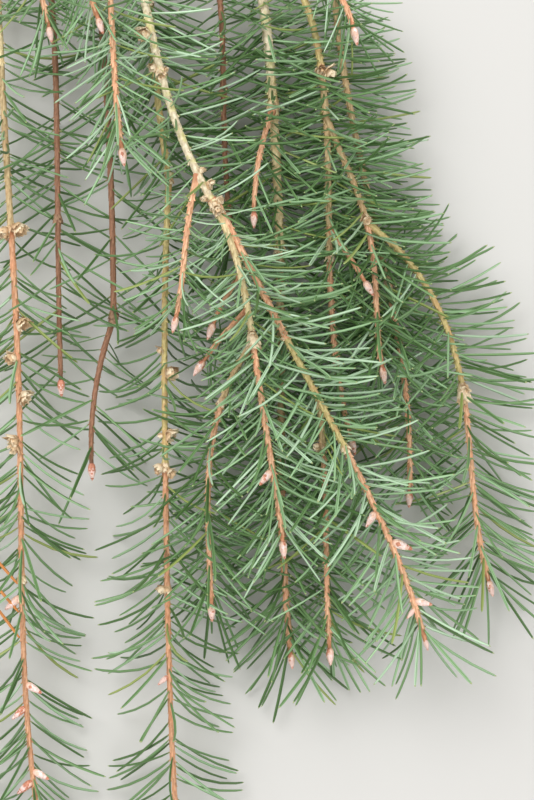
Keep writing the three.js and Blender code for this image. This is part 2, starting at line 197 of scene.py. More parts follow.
WIDE = 42.0
LIMB = ShootPlan("limb", "", 0, 167, (90, 60), 24, (5.8, 2.4), Bed.LEFT, bow=8, hump=6)
LIMB_START_Z = 6.3
SHOOTS = (
    ShootPlan("far_left_spray", "limb", 23, 364, (-1, 10), 18, (1.7, 1.2), Bed.LEFT, Foliage.LEFT,
        bow=-2.6, sway=4.2, shoulder=WIDE, hump=6, joints=(122, 258),
        buds=((265, -1, 1.0, 0.2), (299, 1, 1.0, 0.0), (308, -1, 0.9, 0.8), (333, 1, 1.0, 0.1),
              (337, -1, 1.0, 0.9)),
        husks=((121, 1, 1.3), (122, -1, 1.15), (158, 1, 1.3), (171, -1, 1.0), (186, 1, 1.05),
               (188, 1, 0.8), (203, -1, 1.2), (206, -1, 1.0)),
        # The young bark from 122 mm on is painted darker, as painted shade.
        barks=((0, 58, Age.CREAM), (58, 122, Age.SECOND), (122, 364, Age.TAN)),
        dead=((260, 35, 138), (271, 30, 140), (281, 25, 145)),
        crowding=0.8, spread=(62, 46), bend=26, girth=0.68),
    ShootPlan("upper_left_tuft", "limb", 33, 51, (18, 11), 36, (1.4, 1.2), Bed.LEFT, Foliage.LEFT,
        shoulder=WIDE, needles=0.85, bend=10, crowding=1.1, parting=0.25),
    ShootPlan("left_rear_spray", "limb", 42, 182, (5.5, 2), 16, (1.6, 1.2), Bed.LEFT, Foliage.SHADE,
        bow=-3, shoulder=WIDE, joints=(118,), crowding=0.36),
    ShootPlan("upper_front_tuft", "limb", 53, 47, (11, 18), 40, (1.4, 1.3), Bed.FRONT, Foliage.FRONT,
        shoulder=WIDE, needles=0.85, spread=(64, 46), bend=6, crowding=1.35, parting=0.25),
    ShootPlan("left_deep_spray", "limb", 60, 158, (6, 0), 15, (1.7, 1.5), Bed.LEFT, Foliage.SHADE,
        shoulder=WIDE, joints=(155,), budless=True, crowding=0.36),
    ShootPlan("left_deep_end", "left_deep_spray", 157, 58, (-20, 3), 15, (1.5, 1.2), Bed.LEFT,
        Foliage.SHADE, crowding=0.36, mass="left_deep_spray"),
    ShootPlan("upper_front_spray", "limb", 66, 94, (7.5, 8), 46, (1.5, 1.3), Bed.FRONT,
        Foliage.FRONT, bow=-5, shoulder=WIDE, needles=0.85, spread=(66, 50), bend=7,
        crowding=1.35, parting=0.3),
    ShootPlan("front_leader_spray", "limb", 75, 122, (13.5, 31.5), 45, (2.2, 1.9), Bed.FRONT,
        Foliage.FRONT, bow=-9, sway=-1, shoulder=WIDE, joints=(65, 119),
        husks=((48, -1, 1.15), (62, -1, 0.8), (64, 1, 0.5), (66, 0, 0.6), (105, 1, 0.6),
               (111, 1, 0.75), (115, -1, 0.6), (118, 1, 0.7), (121, 0, 0.75)),
        budless=True, needles=0.9, youngest=Age.THIRD, spread=(60, 76), bend=16,
        crowding=0.85, parting=0.25),
    ShootPlan("front_leader_end", "front_leader_spray", 121, 130, (26.5, 6), 42, (1.7, 1.25),
        Bed.FRONT, Foliage.FRONT, bow=-8, sway=-3.7, hump=3, joints=(52,),
        buds=((102, -1, 1.0, 0.4),), husks=((49, 0, 0.5),), collar=1.9, barks=((0, 52, Age.CREAM),),
        needles=0.9, mass="front_leader_spray", spread=(68, 50), bend=9, crowding=1.5,
        parting=0.2),
    ShootPlan("front_leader_twig", "front_leader_end", 27, 22, (-40, -20), 34, (1.2, 1.1),
        Bed.FRONT, Foliage.INNER, needles=0.7, mass="front_leader_spray"),
    ShootPlan("front_leader_spur", "front_leader_end", 40, 27, (-48, -34), 30, (1.2, 1.1),
        Bed.FRONT, Foliage.INNER, needles=0.7, mass="front_leader_spray"),
    ShootPlan("right_leader_spray", "front_leader_spray", 117, 187, (23.5, 15), 38, (1.7, 1.3),
        Bed.FRONT, Foliage.FRONT, bow=9, sway=-1, shoulder=14, hump=5, joints=(107,),
        buds=((134, -1, 1.0, 0.2), (147, 1, 1.05, 0.0), (171, 1, 0.95, 0.15), (174, -1, 0.65, 0.6)),
        husks=((57, 0, 0.4), (59, -1, 0.35)), tip_bud=0.76, crowding=1.45, spread=(68, 56),
        bend=14, parting=0.15, barks=((0, 60, Age.YOUNG), (60, 107, Age.OLIVE))),
    ShootPlan("front_side_spray", "front_leader_spray", 106, 56, (-15, -12.5), 42, (1.4, 1.25),
        Bed.FRONT, Foliage.FRONT, bow=8, hump=4, needles=0.85, spread=(92, 48), bend=26,
        crowding=1.35, parting=0.3),
    ShootPlan("lower_left_side_spray", "front_leader_end", 53, 105, (-38, 2.5), 26, (1.4, 1.2),
        Bed.MIDDLE, Foliage.INNER, bow=13.5, joints=(25,), crowding=1.45, bend=20),
    ShootPlan("lower_right_side_spray", "right_leader_spray", 86, 97, (7, 3.5), 26, (1.4, 1.2),
        Bed.MIDDLE, Foliage.INNER, bow=-4, joints=(18,), husks=((17, -1, 0.8),), crowding=1.45),
    ShootPlan("centre_left_spray", "limb", 82, 101, (0, 9.5), 28, (1.8, 1.6), Bed.MIDDLE,
        Foliage.INNER, shoulder=WIDE, joints=(32,), budless=True, barks=((0, 101, Age.OLIVE),),
        crowding=0.86),
    ShootPlan("centre_left_end", "centre_left_spray", 101, 266, (-3.5, 5.2), 18, (1.6, 1.2),
        Bed.MIDDLE, Foliage.LEFT, sway=1.2, hump=4, joints=(111, 158),
        buds=((192, -1, 0.72, 0.9),),
        husks=((65, -1, 0.65), (73, 1, 1.15), (97, 1, 1.05), (98, -1, 0.5), (110, -1, 0.95),
               (112, 1, 0.85), (157, -1, 0.8)),
        # The young bark from 111 mm on is painted darker, as painted shade.
        barks=((0, 111, Age.OLIVE), (111, 266, Age.TAN)),
        mass="centre_left_spray", crowding=0.78, spread=(60, 48), bend=28),
    ShootPlan("middle_short_spray", "limb", 110, 122, (4, 8), 14, (1.5, 1.2), Bed.MIDDLE,
        Foliage.SHADE, bow=-5.5, shoulder=WIDE, joints=(60,),
        crowding=1.1),
    ShootPlan("middle_long_spray", "limb", 127, 277, (4.5, 6), 15, (2.1, 1.2), Bed.MIDDLE,
        Foliage.INNER, bow=-4.5, sway=1.7, shoulder=WIDE, joints=(63, 119, 210),
        barks=((50, 119, Age.CREAM),), crowding=1.45, girth=0.84),
    ShootPlan("middle_long_twig", "middle_long_spray", 64, 43, (-20, 0), 32, (1.3, 1.15),
        Bed.MIDDLE, Foliage.INNER, needles=0.8, mass="middle_long_spray"),
    ShootPlan("right_bough_spray", "limb", 141, 192, (20, 14.5), 18, (1.8, 1.2), Bed.RIGHT,
        bow=-16.5, shoulder=WIDE, hump=4, joints=(48, 120),
        husks=((47, 0, 0.8), (48, 1, 1.1)), barks=((0, 48, Age.OLIVE),),
        crowding=1.5, spread=(84, 56), bend=14),
    ShootPlan("right_bough_twig", "right_bough_spray", 109, 26, (35, 31), 30, (1.2, 1.1),
        Bed.RIGHT, needles=0.75, mass="right_bough_spray"),
    ShootPlan("right_side_spray", "right_bough_spray", 66, 101, (21.5, 10.5), 26, (1.5, 1.2),
        Bed.RIGHT, bow=-5.5, sway=7, joints=(42,), husks=((42, 0, 0.8),), crowding=1.5,
        spread=(82, 54), bend=14),
    ShootPlan("arching_right_spray", "right_side_spray", 44, 153, (56, 15.5), 16, (1.5, 1.25),
        Bed.RIGHT, bow=-26, sway=1.8, joints=(78,),
        husks=((75, 0, 0.7), (77, 1, 0.5)), collar=2.2, crowding=1.4,
        barks=((0, 78, Age.OLIVE),), spread=(80, 50), bend=14),
    ShootPlan("limb_end_spray", "limb", 167, 198, (4.5, -2), 15, (1.7, 1.2), Bed.RIGHT, bow=11.5,
        joints=(115,), crowding=1.55, needles=0.9, spread=(84, 56), bend=12),
    ShootPlan("upper_right_tuft", "limb", 153, 33, (39, 10), 36, (1.4, 1.2), Bed.RIGHT,
        shoulder=WIDE, needles=0.85, crowding=1.35),
)


@dataclass(frozen=True)
class GrowthRule:
    """Sizes of the spiral rule that sets needles on a shoot, as in the solids.

    The sizes from foot_reach on say where a shoot's foot is looked for in its carrier's bark, and
    test_block how many points of needles are tested against the stems at a time.
    """

    length: float = 31.0
    length_spread: float = 4.0
    cushion_step: float = 0.62
    cushion_stray: float = 0.15
    cushion_spread: float = 5.0
    first_beyond_bark: float = 3.0
    last_before_tip: float = 2.6
    root_share: float = 0.62
    full_length_at: float = 26.0
    forward_spread: float = 8.0
    tip_forward: float = 27.0
    tip_fade: float = 13.0
    tip_straightening: float = 0.6
    bend_spread: float = 10.0
    least_bend: float = 1.0
    golden_angle: float = 137.5
    turn_spread: float = 24.0
    roll_spread: float = 58.0
    side_parting: float = 0.2
    dead_length: float = 15.0
    retry_turn: float = 22.0
    retries: int = 5
    floor_gap: float = 1.2
    stem_gap: float = 0.9
    show_gap: float = 2.1
    side_lift: float = 20.0
    bud_forward: float = 54.0
    bud_reach: Series = (1.5, 4.0, 6.5)
    husk_reach: Series = (0.8, 2.4)
    shoulder_reach: float = 12.0
    joint_swell: float = 0.35
    joint_reach: float = 2.6
    collar_swell: float = 0.1
    foot_reach: float = 9.0
    foot_samples: int = 73
    foot_beyond: float = 4.0
    foot_step: float = 0.1
    test_block: int = 512
    seed: int = 410
    needle_seed: int = 820
    peg_seed: int = 1230


RULE = GrowthRule()
UPWARD = np.array((0.0, 0.0, 1.0))


def construction_origin() -> Array:
    """Finds where the middle of the limb's cut, dropped to the floor, lies in the frame.

    Returns:
        The place in millimetres.
    """
    mounts = frame["record"]["mounts"]
    cut = next(mount for mount in mounts if mount["name"] == "cut_end")
    return np.array(cut["pos_m"]) / MM - LIMB_START_Z * UPWARD


def unit(vectors: Array) -> Array:
    """Scales vectors, one a row, to length one."""
    return vectors / np.maximum(np.linalg.norm(vectors, axis=-1, keepdims=True), TINY)


def swing(start: Array, towards: Array, angle: Array | float) -> Array:
    """Turns directions towards others that are square to them, by radians."""
    return start * np.cos(angle) + towards * np.sin(angle)


def even_turns(sides: int) -> Array:
    """Turns of the corners of an even ring, in radians."""
    return 2 * np.pi * np.arange(sides) / sides


def stacked(parts: Sequence[Rows]) -> Rows:
    """Several sets of needles, or of places, as one."""
    names = [item.name for item in fields(parts[0])]
    return type(parts[0])(*(np.concatenate([getattr(part, name) for part in parts]) for name in names))


@dataclass
class Frames:
    """Places along a route: points, and the three square directions at each."""

    point: Array
    along: Array
    across: Array
    up: Array

    def around(self, turn: Array) -> Array:
        """Directions square to the route, turned round it by degrees, one for each place."""
        return swing(self.across, self.up, np.radians(turn)[:, None])

    def rings(self, angle: Array) -> Array:
        """Directions all round each place, at turns in radians, of shape (places, turns, 3)."""
        return swing(self.across[:, None], self.up[:, None], angle[None, :, None])

    @staticmethod
    def square(point: Array, along: Array | Series, across: Array | Series) -> "Frames":
        """Places with directions that are one for all places, or one for each."""
        along, across = np.broadcast_to(along, point.shape), np.broadcast_to(across, point.shape)
        return Frames(point, along, across, np.cross(along, across))


@dataclass
class Route:
    """The middle line of a limb or shoot, as points about a millimetre apart.

    root is where it starts, in millimetres, and eases_in whether it leaves that level, as the limb
    does. seats are where it swells, if not at the plan's joints.
    """

    plan: ShootPlan
    root: Array
    eases_in: bool = False
    seats: Series = ()

    def __post_init__(self) -> None:
        """Walks the route."""
        plan = self.plan
        self.count = max(2, round(plan.length))
        share = (np.arange(self.count) + 0.5) / self.count
        lean = np.radians(self.lean(share))
        steps = np.stack([np.sin(lean), -np.cos(lean)], 1) * plan.length / self.count
        flat = np.concatenate([np.zeros((1, 2)), np.cumsum(steps, 0)]) + self.root[:2]
        heights = self.height(np.arange(self.count + 1) / self.count)
        self.points = np.concatenate([flat, heights[:, None]], 1)

    def lean(self, share: Array) -> Array:
        """Direction in the picture, in degrees from straight down.

        Args:
            share: Shares of the length.

        Returns:
            The directions.
        """
        plan = self.plan
        even = plan.lean[0] + (plan.lean[1] - plan.lean[0]) * share
        waves = plan.bow * np.sin(np.pi * share) + plan.sway * np.sin(2 * np.pi * share)
        return even + waves + plan.shoulder * np.exp(-share * plan.length / RULE.shoulder_reach)

    def height(self, share: Array) -> Array:
        """Height of the middle line.

        Args:
            share: Shares of the length.

        Returns:
            The heights.
        """
        rise = share * share * (3 - 2 * share) if self.eases_in else 1 - (1 - share) ** 3
        hump = self.plan.hump * np.sin(np.pi * share) ** 2
        return self.root[2] + (self.plan.tip_z - self.root[2]) * rise + hump

    def radius(self, at: Array) -> Array:
        """Radius, swollen at the joints.

        Args:
            at: Distances along the route.

        Returns:
            The radii.
        """
        share = np.clip(at / self.plan.length, 0, 1)
        girth = np.ones_like(share)
        swell = RULE.collar_swell if self.eases_in else RULE.joint_swell
        for joint in self.seats or self.plan.joints:
            girth += swell * np.exp(-(((at - joint) / RULE.joint_reach) ** 2))
        return (self.plan.radius[0] + (self.plan.radius[1] - self.plan.radius[0]) * share) * girth

    def girth_at(self, at: float) -> float:
        """Radius at one distance."""
        return float(self.radius(np.array([float(at)]))[0])

    def place(self, at: float) -> Frames:
        """One place, at a distance along the route."""
        return self.frames(np.array([float(at)]))

    def frames(self, at: Array) -> Frames:
        """Places and square directions at distances along the route.

        Args:
            at: Distances, which may pass either end.

        Returns:
            The places.
        """
        share = np.clip(at / self.plan.length, 0, 1)
        where = share * self.count
        before = np.minimum(self.count - 1, where.astype(int))
        blend = (where - before)[:, None]
        point = self.points[before] * (1 - blend) + self.points[before + 1] * blend
        lean = np.radians(self.lean(share))
        high = np.minimum(1, share + 1 / self.count)
        low = np.maximum(0, share - 1 / self.count)
        slope = (self.height(high) - self.height(low)) / (self.plan.length * (high - low))
        if self.eases_in:
            slope = np.where(share == 0, 0, slope)
        along = unit(np.stack([np.sin(lean), -np.cos(lean), slope], 1))
        across = unit(np.cross(along, UPWARD))
        point = point + along * (at - share * self.plan.length)[:, None]
        return Frames(point, along, across, np.cross(across, along))

    def on_side(self, at: float, side: int) -> tuple[Array, Array, Array]:
        """Finds where something grows on a shoot's side or top.

        Args:
            at: Distance along the route.
            side: 1 for the right, -1 for the left and 0 for the top.

        Returns:
            Its foot, outward direction and forward direction.
        """
        frames = self.place(at)
        turn = {1: 180 - RULE.side_lift, -1: RULE.side_lift, 0: 90.0}[side]
        outward = frames.around(np.array([turn]))[0]
        foot = frames.point[0] + outward * self.girth_at(at) * self.plan.girth
        return foot, outward, frames.along[0]

    def ages(self, at: Array) -> Array:
        """How old the shoot is, with darker copies of bark where shade is painted.

        Args:
            at: Distances along it.

        Returns:
            The values of Age.
        """
        # Shoots with SHADE foliage get the shaded bark all along, as painted shade.
        if self.plan.foliage is Foliage.SHADE:
            return np.full(at.shape, Age.SHADED.value)
        ages = np.full(at.shape, self.plan.youngest.value)
        for joint in self.plan.joints:
            ages += at < joint
        ages = np.minimum(ages, Age.THIRD.value)
        for low, high, age in self.plan.barks:
            ages = np.where((at >= low) & (at < high), age.value, ages)
        return ages


class Branch:
    """The routes of the limb and all shoots, and the surfaces that needles keep clear of."""

    def __init__(self) -> None:
        """Lays every route out from its carrier."""
        origin = construction_origin()
        seats = tuple(plan.at for plan in SHOOTS if plan.carrier == LIMB.name)
        self.limb = Route(LIMB, origin + LIMB_START_Z * UPWARD, True, seats)
        self.shoots: dict[str, Route] = {}
        for plan in SHOOTS:
            self.shoots[plan.name] = Route(plan, self.route(plan.carrier).place(plan.at).point[0])
        routes = [self.limb, *self.shoots.values()]
        self.stem_points = np.concatenate([route.points for route in routes])
        spans = [np.arange(len(route.points)) * route.plan.length / route.count for route in routes]
        self.stem_radii = np.concatenate([route.radius(span) for route, span in zip(routes, spans)])
        self.stem_owner = np.concatenate(
            [np.full(len(route.points), index) for index, route in enumerate(routes)])
        self.owners = {route.plan.name: index for index, route in enumerate(routes)}
        self.shown = np.array([place for route in self.shoots.values() for place in self.shows(route)])

    def route(self, name: str) -> Route:
        """The route of the limb or of a shoot, by name."""
        return self.limb if name == LIMB.name else self.shoots[name]

    def in_bed(self, bed: Bed) -> list[Route]:
        """The routes of one bed's shoots."""
        return [route for route in self.shoots.values() if route.plan.bed is bed]

    def first_at(self, plan: ShootPlan) -> float:
        """How far along a shoot its carrier's bark ends.

        Args:
            plan: The shoot.

        Returns:
            The distance, 0 for one that goes on from its carrier's tip.
        """
        carrier = self.route(plan.carrier)
        if plan.at > carrier.plan.length - carrier.plan.radius[1]:
            return 0.0
        return carrier.girth_at(plan.at)

    def foot(self, plan: ShootPlan, sunk: float) -> Pair:
        """Finds where a shoot stands in its carrier's bark.

        Args:
            plan: The shoot.
            sunk: How deep in the bark it starts.

        Returns:
            How far along it the stem starts, and comes out of the bark.
        """
        if self.first_at(plan) == 0:
            return -sunk, -sunk
        carrier = self.route(plan.carrier)
        girth = 1.0 if carrier is self.limb else carrier.plan.girth
        steps = np.linspace(-RULE.foot_reach, RULE.foot_reach, RULE.foot_samples)
        near = np.clip(plan.at + steps, 0, carrier.plan.length)
        at = np.arange(0, self.first_at(plan) + RULE.foot_beyond, RULE.foot_step)
        apart = self.shoots[plan.name].frames(at).point[:, None] - carrier.frames(near).point[None]
        gap = (np.linalg.norm(apart, axis=2) - carrier.radius(near)[None] * girth).min(1)
        return float(at[gap <= max(-sunk, gap.min())].max()), float(at[gap <= 0].max())

    def shows(self, route: Route) -> list[Array]:
        """Finds what of a shoot stays in view from above.

        Args:
            route: The shoot.

        Returns:
            Points of its buds and husks.
        """
        plan = route.plan
        points = []
        for at, side, size, _ in plan.buds:
            foot, outward, along = route.on_side(at, side)
            axis = swing(along, outward, math.radians(RULE.bud_forward))
            points += [foot + axis * reach * size for reach in RULE.bud_reach]
        for at, side, size in plan.husks:
            foot, outward, _ = route.on_side(at, side)
            points += [foot + outward * reach * size for reach in RULE.husk_reach]
        if not plan.budless:
            end = route.place(plan.length)
            points += [end.point[0] + end.along[0] * reach * plan.tip_bud for reach in RULE.bud_reach]
        return points

    def hides(self, points: Array) -> Array:
        """True for each needle that passes over a bud or a husk.

        Args:
            points: Points of shape (needles, points on each, 3).

        Returns:
            One truth value for each needle.
        """
        flat = np.linalg.norm(points[:, :, None, :2] - self.shown[None, None, :, :2], axis=3)
        over = points[:, :, None, 2] > self.shown[None, None, :, 2] - RULE.stem_gap
        return ((flat < RULE.show_gap) & over).any((1, 2))

    def is_clear(self, points: Array, name: str) -> Array:
        """Tests points of needles against the floor and every stem but their own.

        Args:
            points: Points of shape (needles, points on each, 3).
            name: The shoot that the needles grow on.

        Returns:
            True for each needle that is clear.
        """
        others = self.stem_owner != self.owners[name]
        stems = self.stem_points[others]
        reach = np.ptp(points, axis=(0, 1)).max() + RULE.length
        near = np.abs(stems - points.mean((0, 1))).max(1) < reach
        stems = stems[near]
        radii = self.stem_radii[others][near]
        flat = points.reshape(-1, 3)
        clear = np.ones(len(flat), bool)
        for start in range(0, len(flat), RULE.test_block):
            block = slice(start, start + RULE.test_block)
            gaps = np.linalg.norm(flat[block, None] - stems[None], axis=2) - radii[None]
            clear[block] = gaps.min(1) > RULE.stem_gap
        above = points[..., 2].min(1) > RULE.floor_gap
        return clear.reshape(points.shape[:2]).all(1) & above


@dataclass
class Cushions:
    """Leaf cushions of one shoot: distance along it, turn round it, and which carry a needle."""

    at: Array
    turn: Array
    is_leafy: Array


@dataclass
class Needles:
    """Needles of one shoot: where each is rooted, how it turns, and its looks."""

    root: Array
    out: Array
    away: Array
    length: Array
    bend: Array
    tint: Array


@dataclass(frozen=True)
class Grower:
    """Sets needles on shoots by the spiral rule.

    clear_shares is where along a needle it is tested against stems, and it is tested against buds
    and husks at show_count places from show_from on.
    """

    branch: Branch
    clear_shares: Series = (0.3, 0.6, 0.85, 1.0)
    show_from: float = 0.08
    show_count: int = 16

    @staticmethod
    def directions(frames: Frames, turn: Array, forward: Array, roll: Array) -> tuple[Array, Array]:
        """Directions in which needles set out, and those square to them in which they curve.

        Args:
            frames: The shoot's directions at each.
            turn: Turn of each round the shoot, in degrees.
            forward: Degrees from the shoot's direction.
            roll: Degrees by which the curve is rolled from pointing back along the shoot.

        Returns:
            The two directions of each.
        """
        start = np.radians(forward)[:, None]
        outward = frames.around(turn)
        out = swing(frames.along, outward, start)
        back = swing(outward, -frames.along, start)
        return out, swing(back, np.cross(out, back), np.radians(roll)[:, None])

    @staticmethod
    def path(root: Array, out: Array, away: Array, bend: Array, length: Array, samples: Array) -> Array:
        """Sample points along needles.

        Args:
            root: Where each needle starts.
            out: The direction that each sets out in.
            away: The direction that each curves towards.
            bend: Degrees that each turns through by its point.
            length: Length of each.
            samples: Where the points lie, as shares of the length.

        Returns:
            Points of shape (needles, samples, 3).
        """
        turning = np.radians(np.where(np.abs(bend) < RULE.least_bend, RULE.least_bend, bend))[:, None]
        angle = turning * samples[None]
        ahead = np.sin(angle) / turning * length[:, None]
        aside = (1 - np.cos(angle)) / turning * length[:, None]
        return root[:, None] + out[:, None] * ahead[..., None] + away[:, None] * aside[..., None]

    @staticmethod
    def parted(turn: Array, parting: float) -> Array:
        """Moves turns towards the two sides, so that a shoot shows its bark from above.

        Args:
            turn: Turns round the shoot, in degrees.
            parting: How far they part.

        Returns:
            The moved turns.
        """
        angle = np.radians(turn)
        sideways = RULE.side_parting * np.sin(2 * angle) + parting * np.cos(angle)
        return turn - np.degrees(sideways)

    def dead(self, route: Route) -> Needles:
        """Sets the dead needles of one shoot, straight and short, at their own places.

        Args:
            route: The shoot.

        Returns:
            Its dead needles.
        """
        at, turn, forward = np.array(route.plan.dead, float).reshape(-1, 3).T
        count = len(at)
        frames = route.frames(at)
        out, away = self.directions(frames, turn, forward, np.zeros(count))
        root = frames.point + frames.around(turn) * route.radius(at)[:, None]
        tint = np.full(count, Tint.DEAD.value)
        return Needles(root, out, away, np.full(count, RULE.dead_length), np.zeros(count), tint)

    def cushions(self, route: Route) -> Cushions:
        """Lays the leaf cushions of one shoot on their spiral and deals out the needles.

        Args:
            route: The shoot.

        Returns:
            Its cushions.
        """
        plan = route.plan
        chance = np.random.default_rng(RULE.seed + self.branch.owners[plan.name])
        first = self.branch.first_at(plan) + RULE.first_beyond_bark
        at = np.arange(first, plan.length - RULE.last_before_tip, RULE.cushion_step)
        at = at + chance.uniform(-RULE.cushion_stray, RULE.cushion_stray, len(at))
        turn = chance.uniform(0, 360) + RULE.golden_angle * np.arange(len(at))
        turn = turn + chance.uniform(-RULE.cushion_spread, RULE.cushion_spread, len(at))
        return Cushions(at, turn, chance.random(len(at)) < plan.crowding * RULE.cushion_step)

    def grow(self, route: Route, cushions: Cushions) -> Needles:
        """Grows the needles of one shoot, each turned on until it is clear, or else left out.

        Args:
            route: The shoot.
            cushions: Its leaf cushions.

        Returns:
            Its needles.
        """
        plan = route.plan
        chance = np.random.default_rng(RULE.needle_seed + self.branch.owners[plan.name])
        at = cushions.at[cushions.is_leafy]
        seat_turn = cushions.turn[cushions.is_leafy]
        count = len(at)
        strayed = seat_turn + chance.uniform(-RULE.turn_spread, RULE.turn_spread, count)
        turn = self.parted(strayed, plan.parting)
        grown = np.clip((at - at.min()) / RULE.full_length_at, 0, 1)
        length = RULE.length + chance.uniform(-RULE.length_spread, RULE.length_spread, count)
        length = length * plan.needles * (RULE.root_share + (1 - RULE.root_share) * grown)
        spread = chance.normal(0, RULE.forward_spread, count)
        closing = np.zeros(count) if plan.budless else np.exp(-(plan.length - at) / RULE.tip_fade)
        forward = plan.spread[0] + (plan.spread[1] - plan.spread[0]) * at / plan.length
        forward = forward + (RULE.tip_forward - forward) * closing + spread
        bend = plan.bend * (1 - RULE.tip_straightening * closing)
        bend = bend + chance.normal(0, RULE.bend_spread, count)
        roll = chance.uniform(-RULE.roll_spread, RULE.roll_spread, count)
        tint = chance.choice(len(plan.foliage.value), count, p=plan.foliage.value)
        frames = route.frames(at)
        radius = route.radius(at)
        root = frames.point + frames.around(seat_turn) * (radius * plan.girth)[:, None]
        clear_shares = np.array(self.clear_shares)
        show_shares = np.linspace(self.show_from, 1.0, self.show_count)
        pending = np.ones(count, bool)
        out, away = self.directions(frames, turn, forward, roll)
        for attempt in range(RULE.retries):
            side = 1 if attempt % 2 == 0 else -1
            tried = turn + side * (attempt + 1) // 2 * RULE.retry_turn
            out_here, away_here = self.directions(frames, tried, forward, roll)
            index = np.flatnonzero(pending)
            way = (root[index], out_here[index], away_here[index], bend[index], (length - radius)[index])
            clear = self.branch.is_clear(self.path(*way, clear_shares), plan.name)
            kept = index[clear & ~self.branch.hides(self.path(*way, show_shares))]
            out[kept], away[kept] = out_here[kept], away_here[kept]
            pending[kept] = False
            if not pending.any():
                break
        columns = (root, out, away, length - radius, bend, tint)
        green = Needles(*(column[~pending] for column in columns))
        return stacked([green, self.dead(route)])


@dataclass
class Surface:
    """A mesh in the making, in millimetres: corners, faces, and a slot and a relief for them."""

    corners: Array
    faces: list[Array]
    slots: list[Array]
    relief: Array

    @staticmethod
    def joined(parts: Sequence["Surface"]) -> "Surface":
        """Joins several surfaces.

        Args:
            parts: The surfaces.

        Returns:
            One surface.
        """
        faces: list[Array] = []
        slots: list[Array] = []
        start = 0
        for part in parts:
            faces += [block + start for block in part.faces]
            slots += part.slots
            start += len(part.corners)
        corners = np.concatenate([part.corners for part in parts])
        return Surface(corners, faces, slots, np.concatenate([part.relief for part in parts]))

    def mesh(self, name: str, smooth: bool = True) -> Mesh:
        """Writes a Blender mesh in metres.

        Args:
            name: The mesh's name.
            smooth: Whether it is shaded smooth.

        Returns:
            The mesh, with its relief as the attribute of that name.
        """
        mesh = bpy.data.meshes.new(name)
        sizes = np.concatenate([np.full(len(block), block.shape[1]) for block in self.faces])
        loops = np.concatenate([block.ravel() for block in self.faces])
        mesh.vertices.add(len(self.corners))
        mesh.vertices.foreach_set("co", (self.corners * MM).astype(np.float32).ravel())
        mesh.loops.add(len(loops))
        mesh.loops.foreach_set("vertex_index", loops.astype(np.int32))
        mesh.polygons.add(len(sizes))
        starts = np.concatenate([[0], np.cumsum(sizes)[:-1]])
        mesh.polygons.foreach_set("loop_start", starts.astype(np.int32))
        mesh.polygons.foreach_set("material_index", np.concatenate(self.slots).astype(np.int32))
        mesh.update(calc_edges=True)
        mesh.polygons.foreach_set("use_smooth", np.full(len(sizes), smooth))
        attribute = mesh.attributes.new("relief", "FLOAT", "POINT")
        attribute.data.foreach_set("value", self.relief.astype(np.float32))
        mesh.validate()
        return mesh


def tube(frames: Frames, radii: Array, slots: Optional[Array] = None, relief: Optional[Array] = None,
         closed: tuple[bool, bool] = (True, True), angle: Optional[Array] = None) -> Surface:
    """Skins rings of corners into a tube.

    Args:
        frames: Where each ring lies.
        radii: Radius of each corner, of shape (rings, sides).
        slots: Material slot of each band between two rings, or of each face in it, or none for 0.
        relief: Relief of each corner, or none for zero.
        closed: Whether the first and the last ring get a cap.
        angle: Turn of each corner round the ring in radians, or none for even steps.

    Returns:
        The tube.
    """
    rings, sides = radii.shape
    slots = np.zeros((rings - 1, 1)) if slots is None else slots.reshape(rings - 1, -1)
    angle = even_turns(sides) if angle is None else angle
    corners = (frames.point[:, None] + frames.rings(angle) * radii[..., None]).reshape(-1, 3)
    ring = np.arange(rings - 1)[:, None] * sides
    side = np.arange(sides)[None]
    after = (side + 1) % sides
    quads = np.stack([ring + side, ring + after, ring + sides + after, ring + sides + side], 2)
    faces = [quads.reshape(-1, 4)[:, ::-1]]
    bands = [np.broadcast_to(slots, (rings - 1, sides)).ravel()]
    height = np.zeros(corners.shape[0]) if relief is None else relief.ravel()
    for end, is_closed in enumerate(closed):
        if not is_closed:
            continue
        middle = len(corners)
        start = 0 if end == 0 else (rings - 1) * sides
        place = frames.point[0] if end == 0 else frames.point[-1]
        corners = np.concatenate([corners, place[None]])
        height = np.append(height, 0.0)
        fan = np.stack([np.full(sides, middle), start + side[0], start + after[0]], 1)
        faces.append(fan if end == 0 else fan[:, ::-1])
        bands.append(np.full(sides, slots[0] if end == 0 else slots[-1]))
    return Surface(corners, faces, bands, height)


def turned_out(surface: Surface) -> Surface:
    """Points a closed surface's faces outwards, told from the sign of its volume.

    Args:
        surface: The surface, which is changed.

    Returns:
        The surface.
    """
    volume = 0.0
    for block in surface.faces:
        first = surface.corners[block[:, 0]]
        for step in range(1, block.shape[1] - 1):
            second = surface.corners[block[:, step]]
            third = surface.corners[block[:, step + 1]]
            volume += float(np.einsum("ij,ij->i", first, np.cross(second, third)).sum())
    if volume <= 0:
        surface.faces = [block[:, ::-1] for block in surface.faces]
    return surface


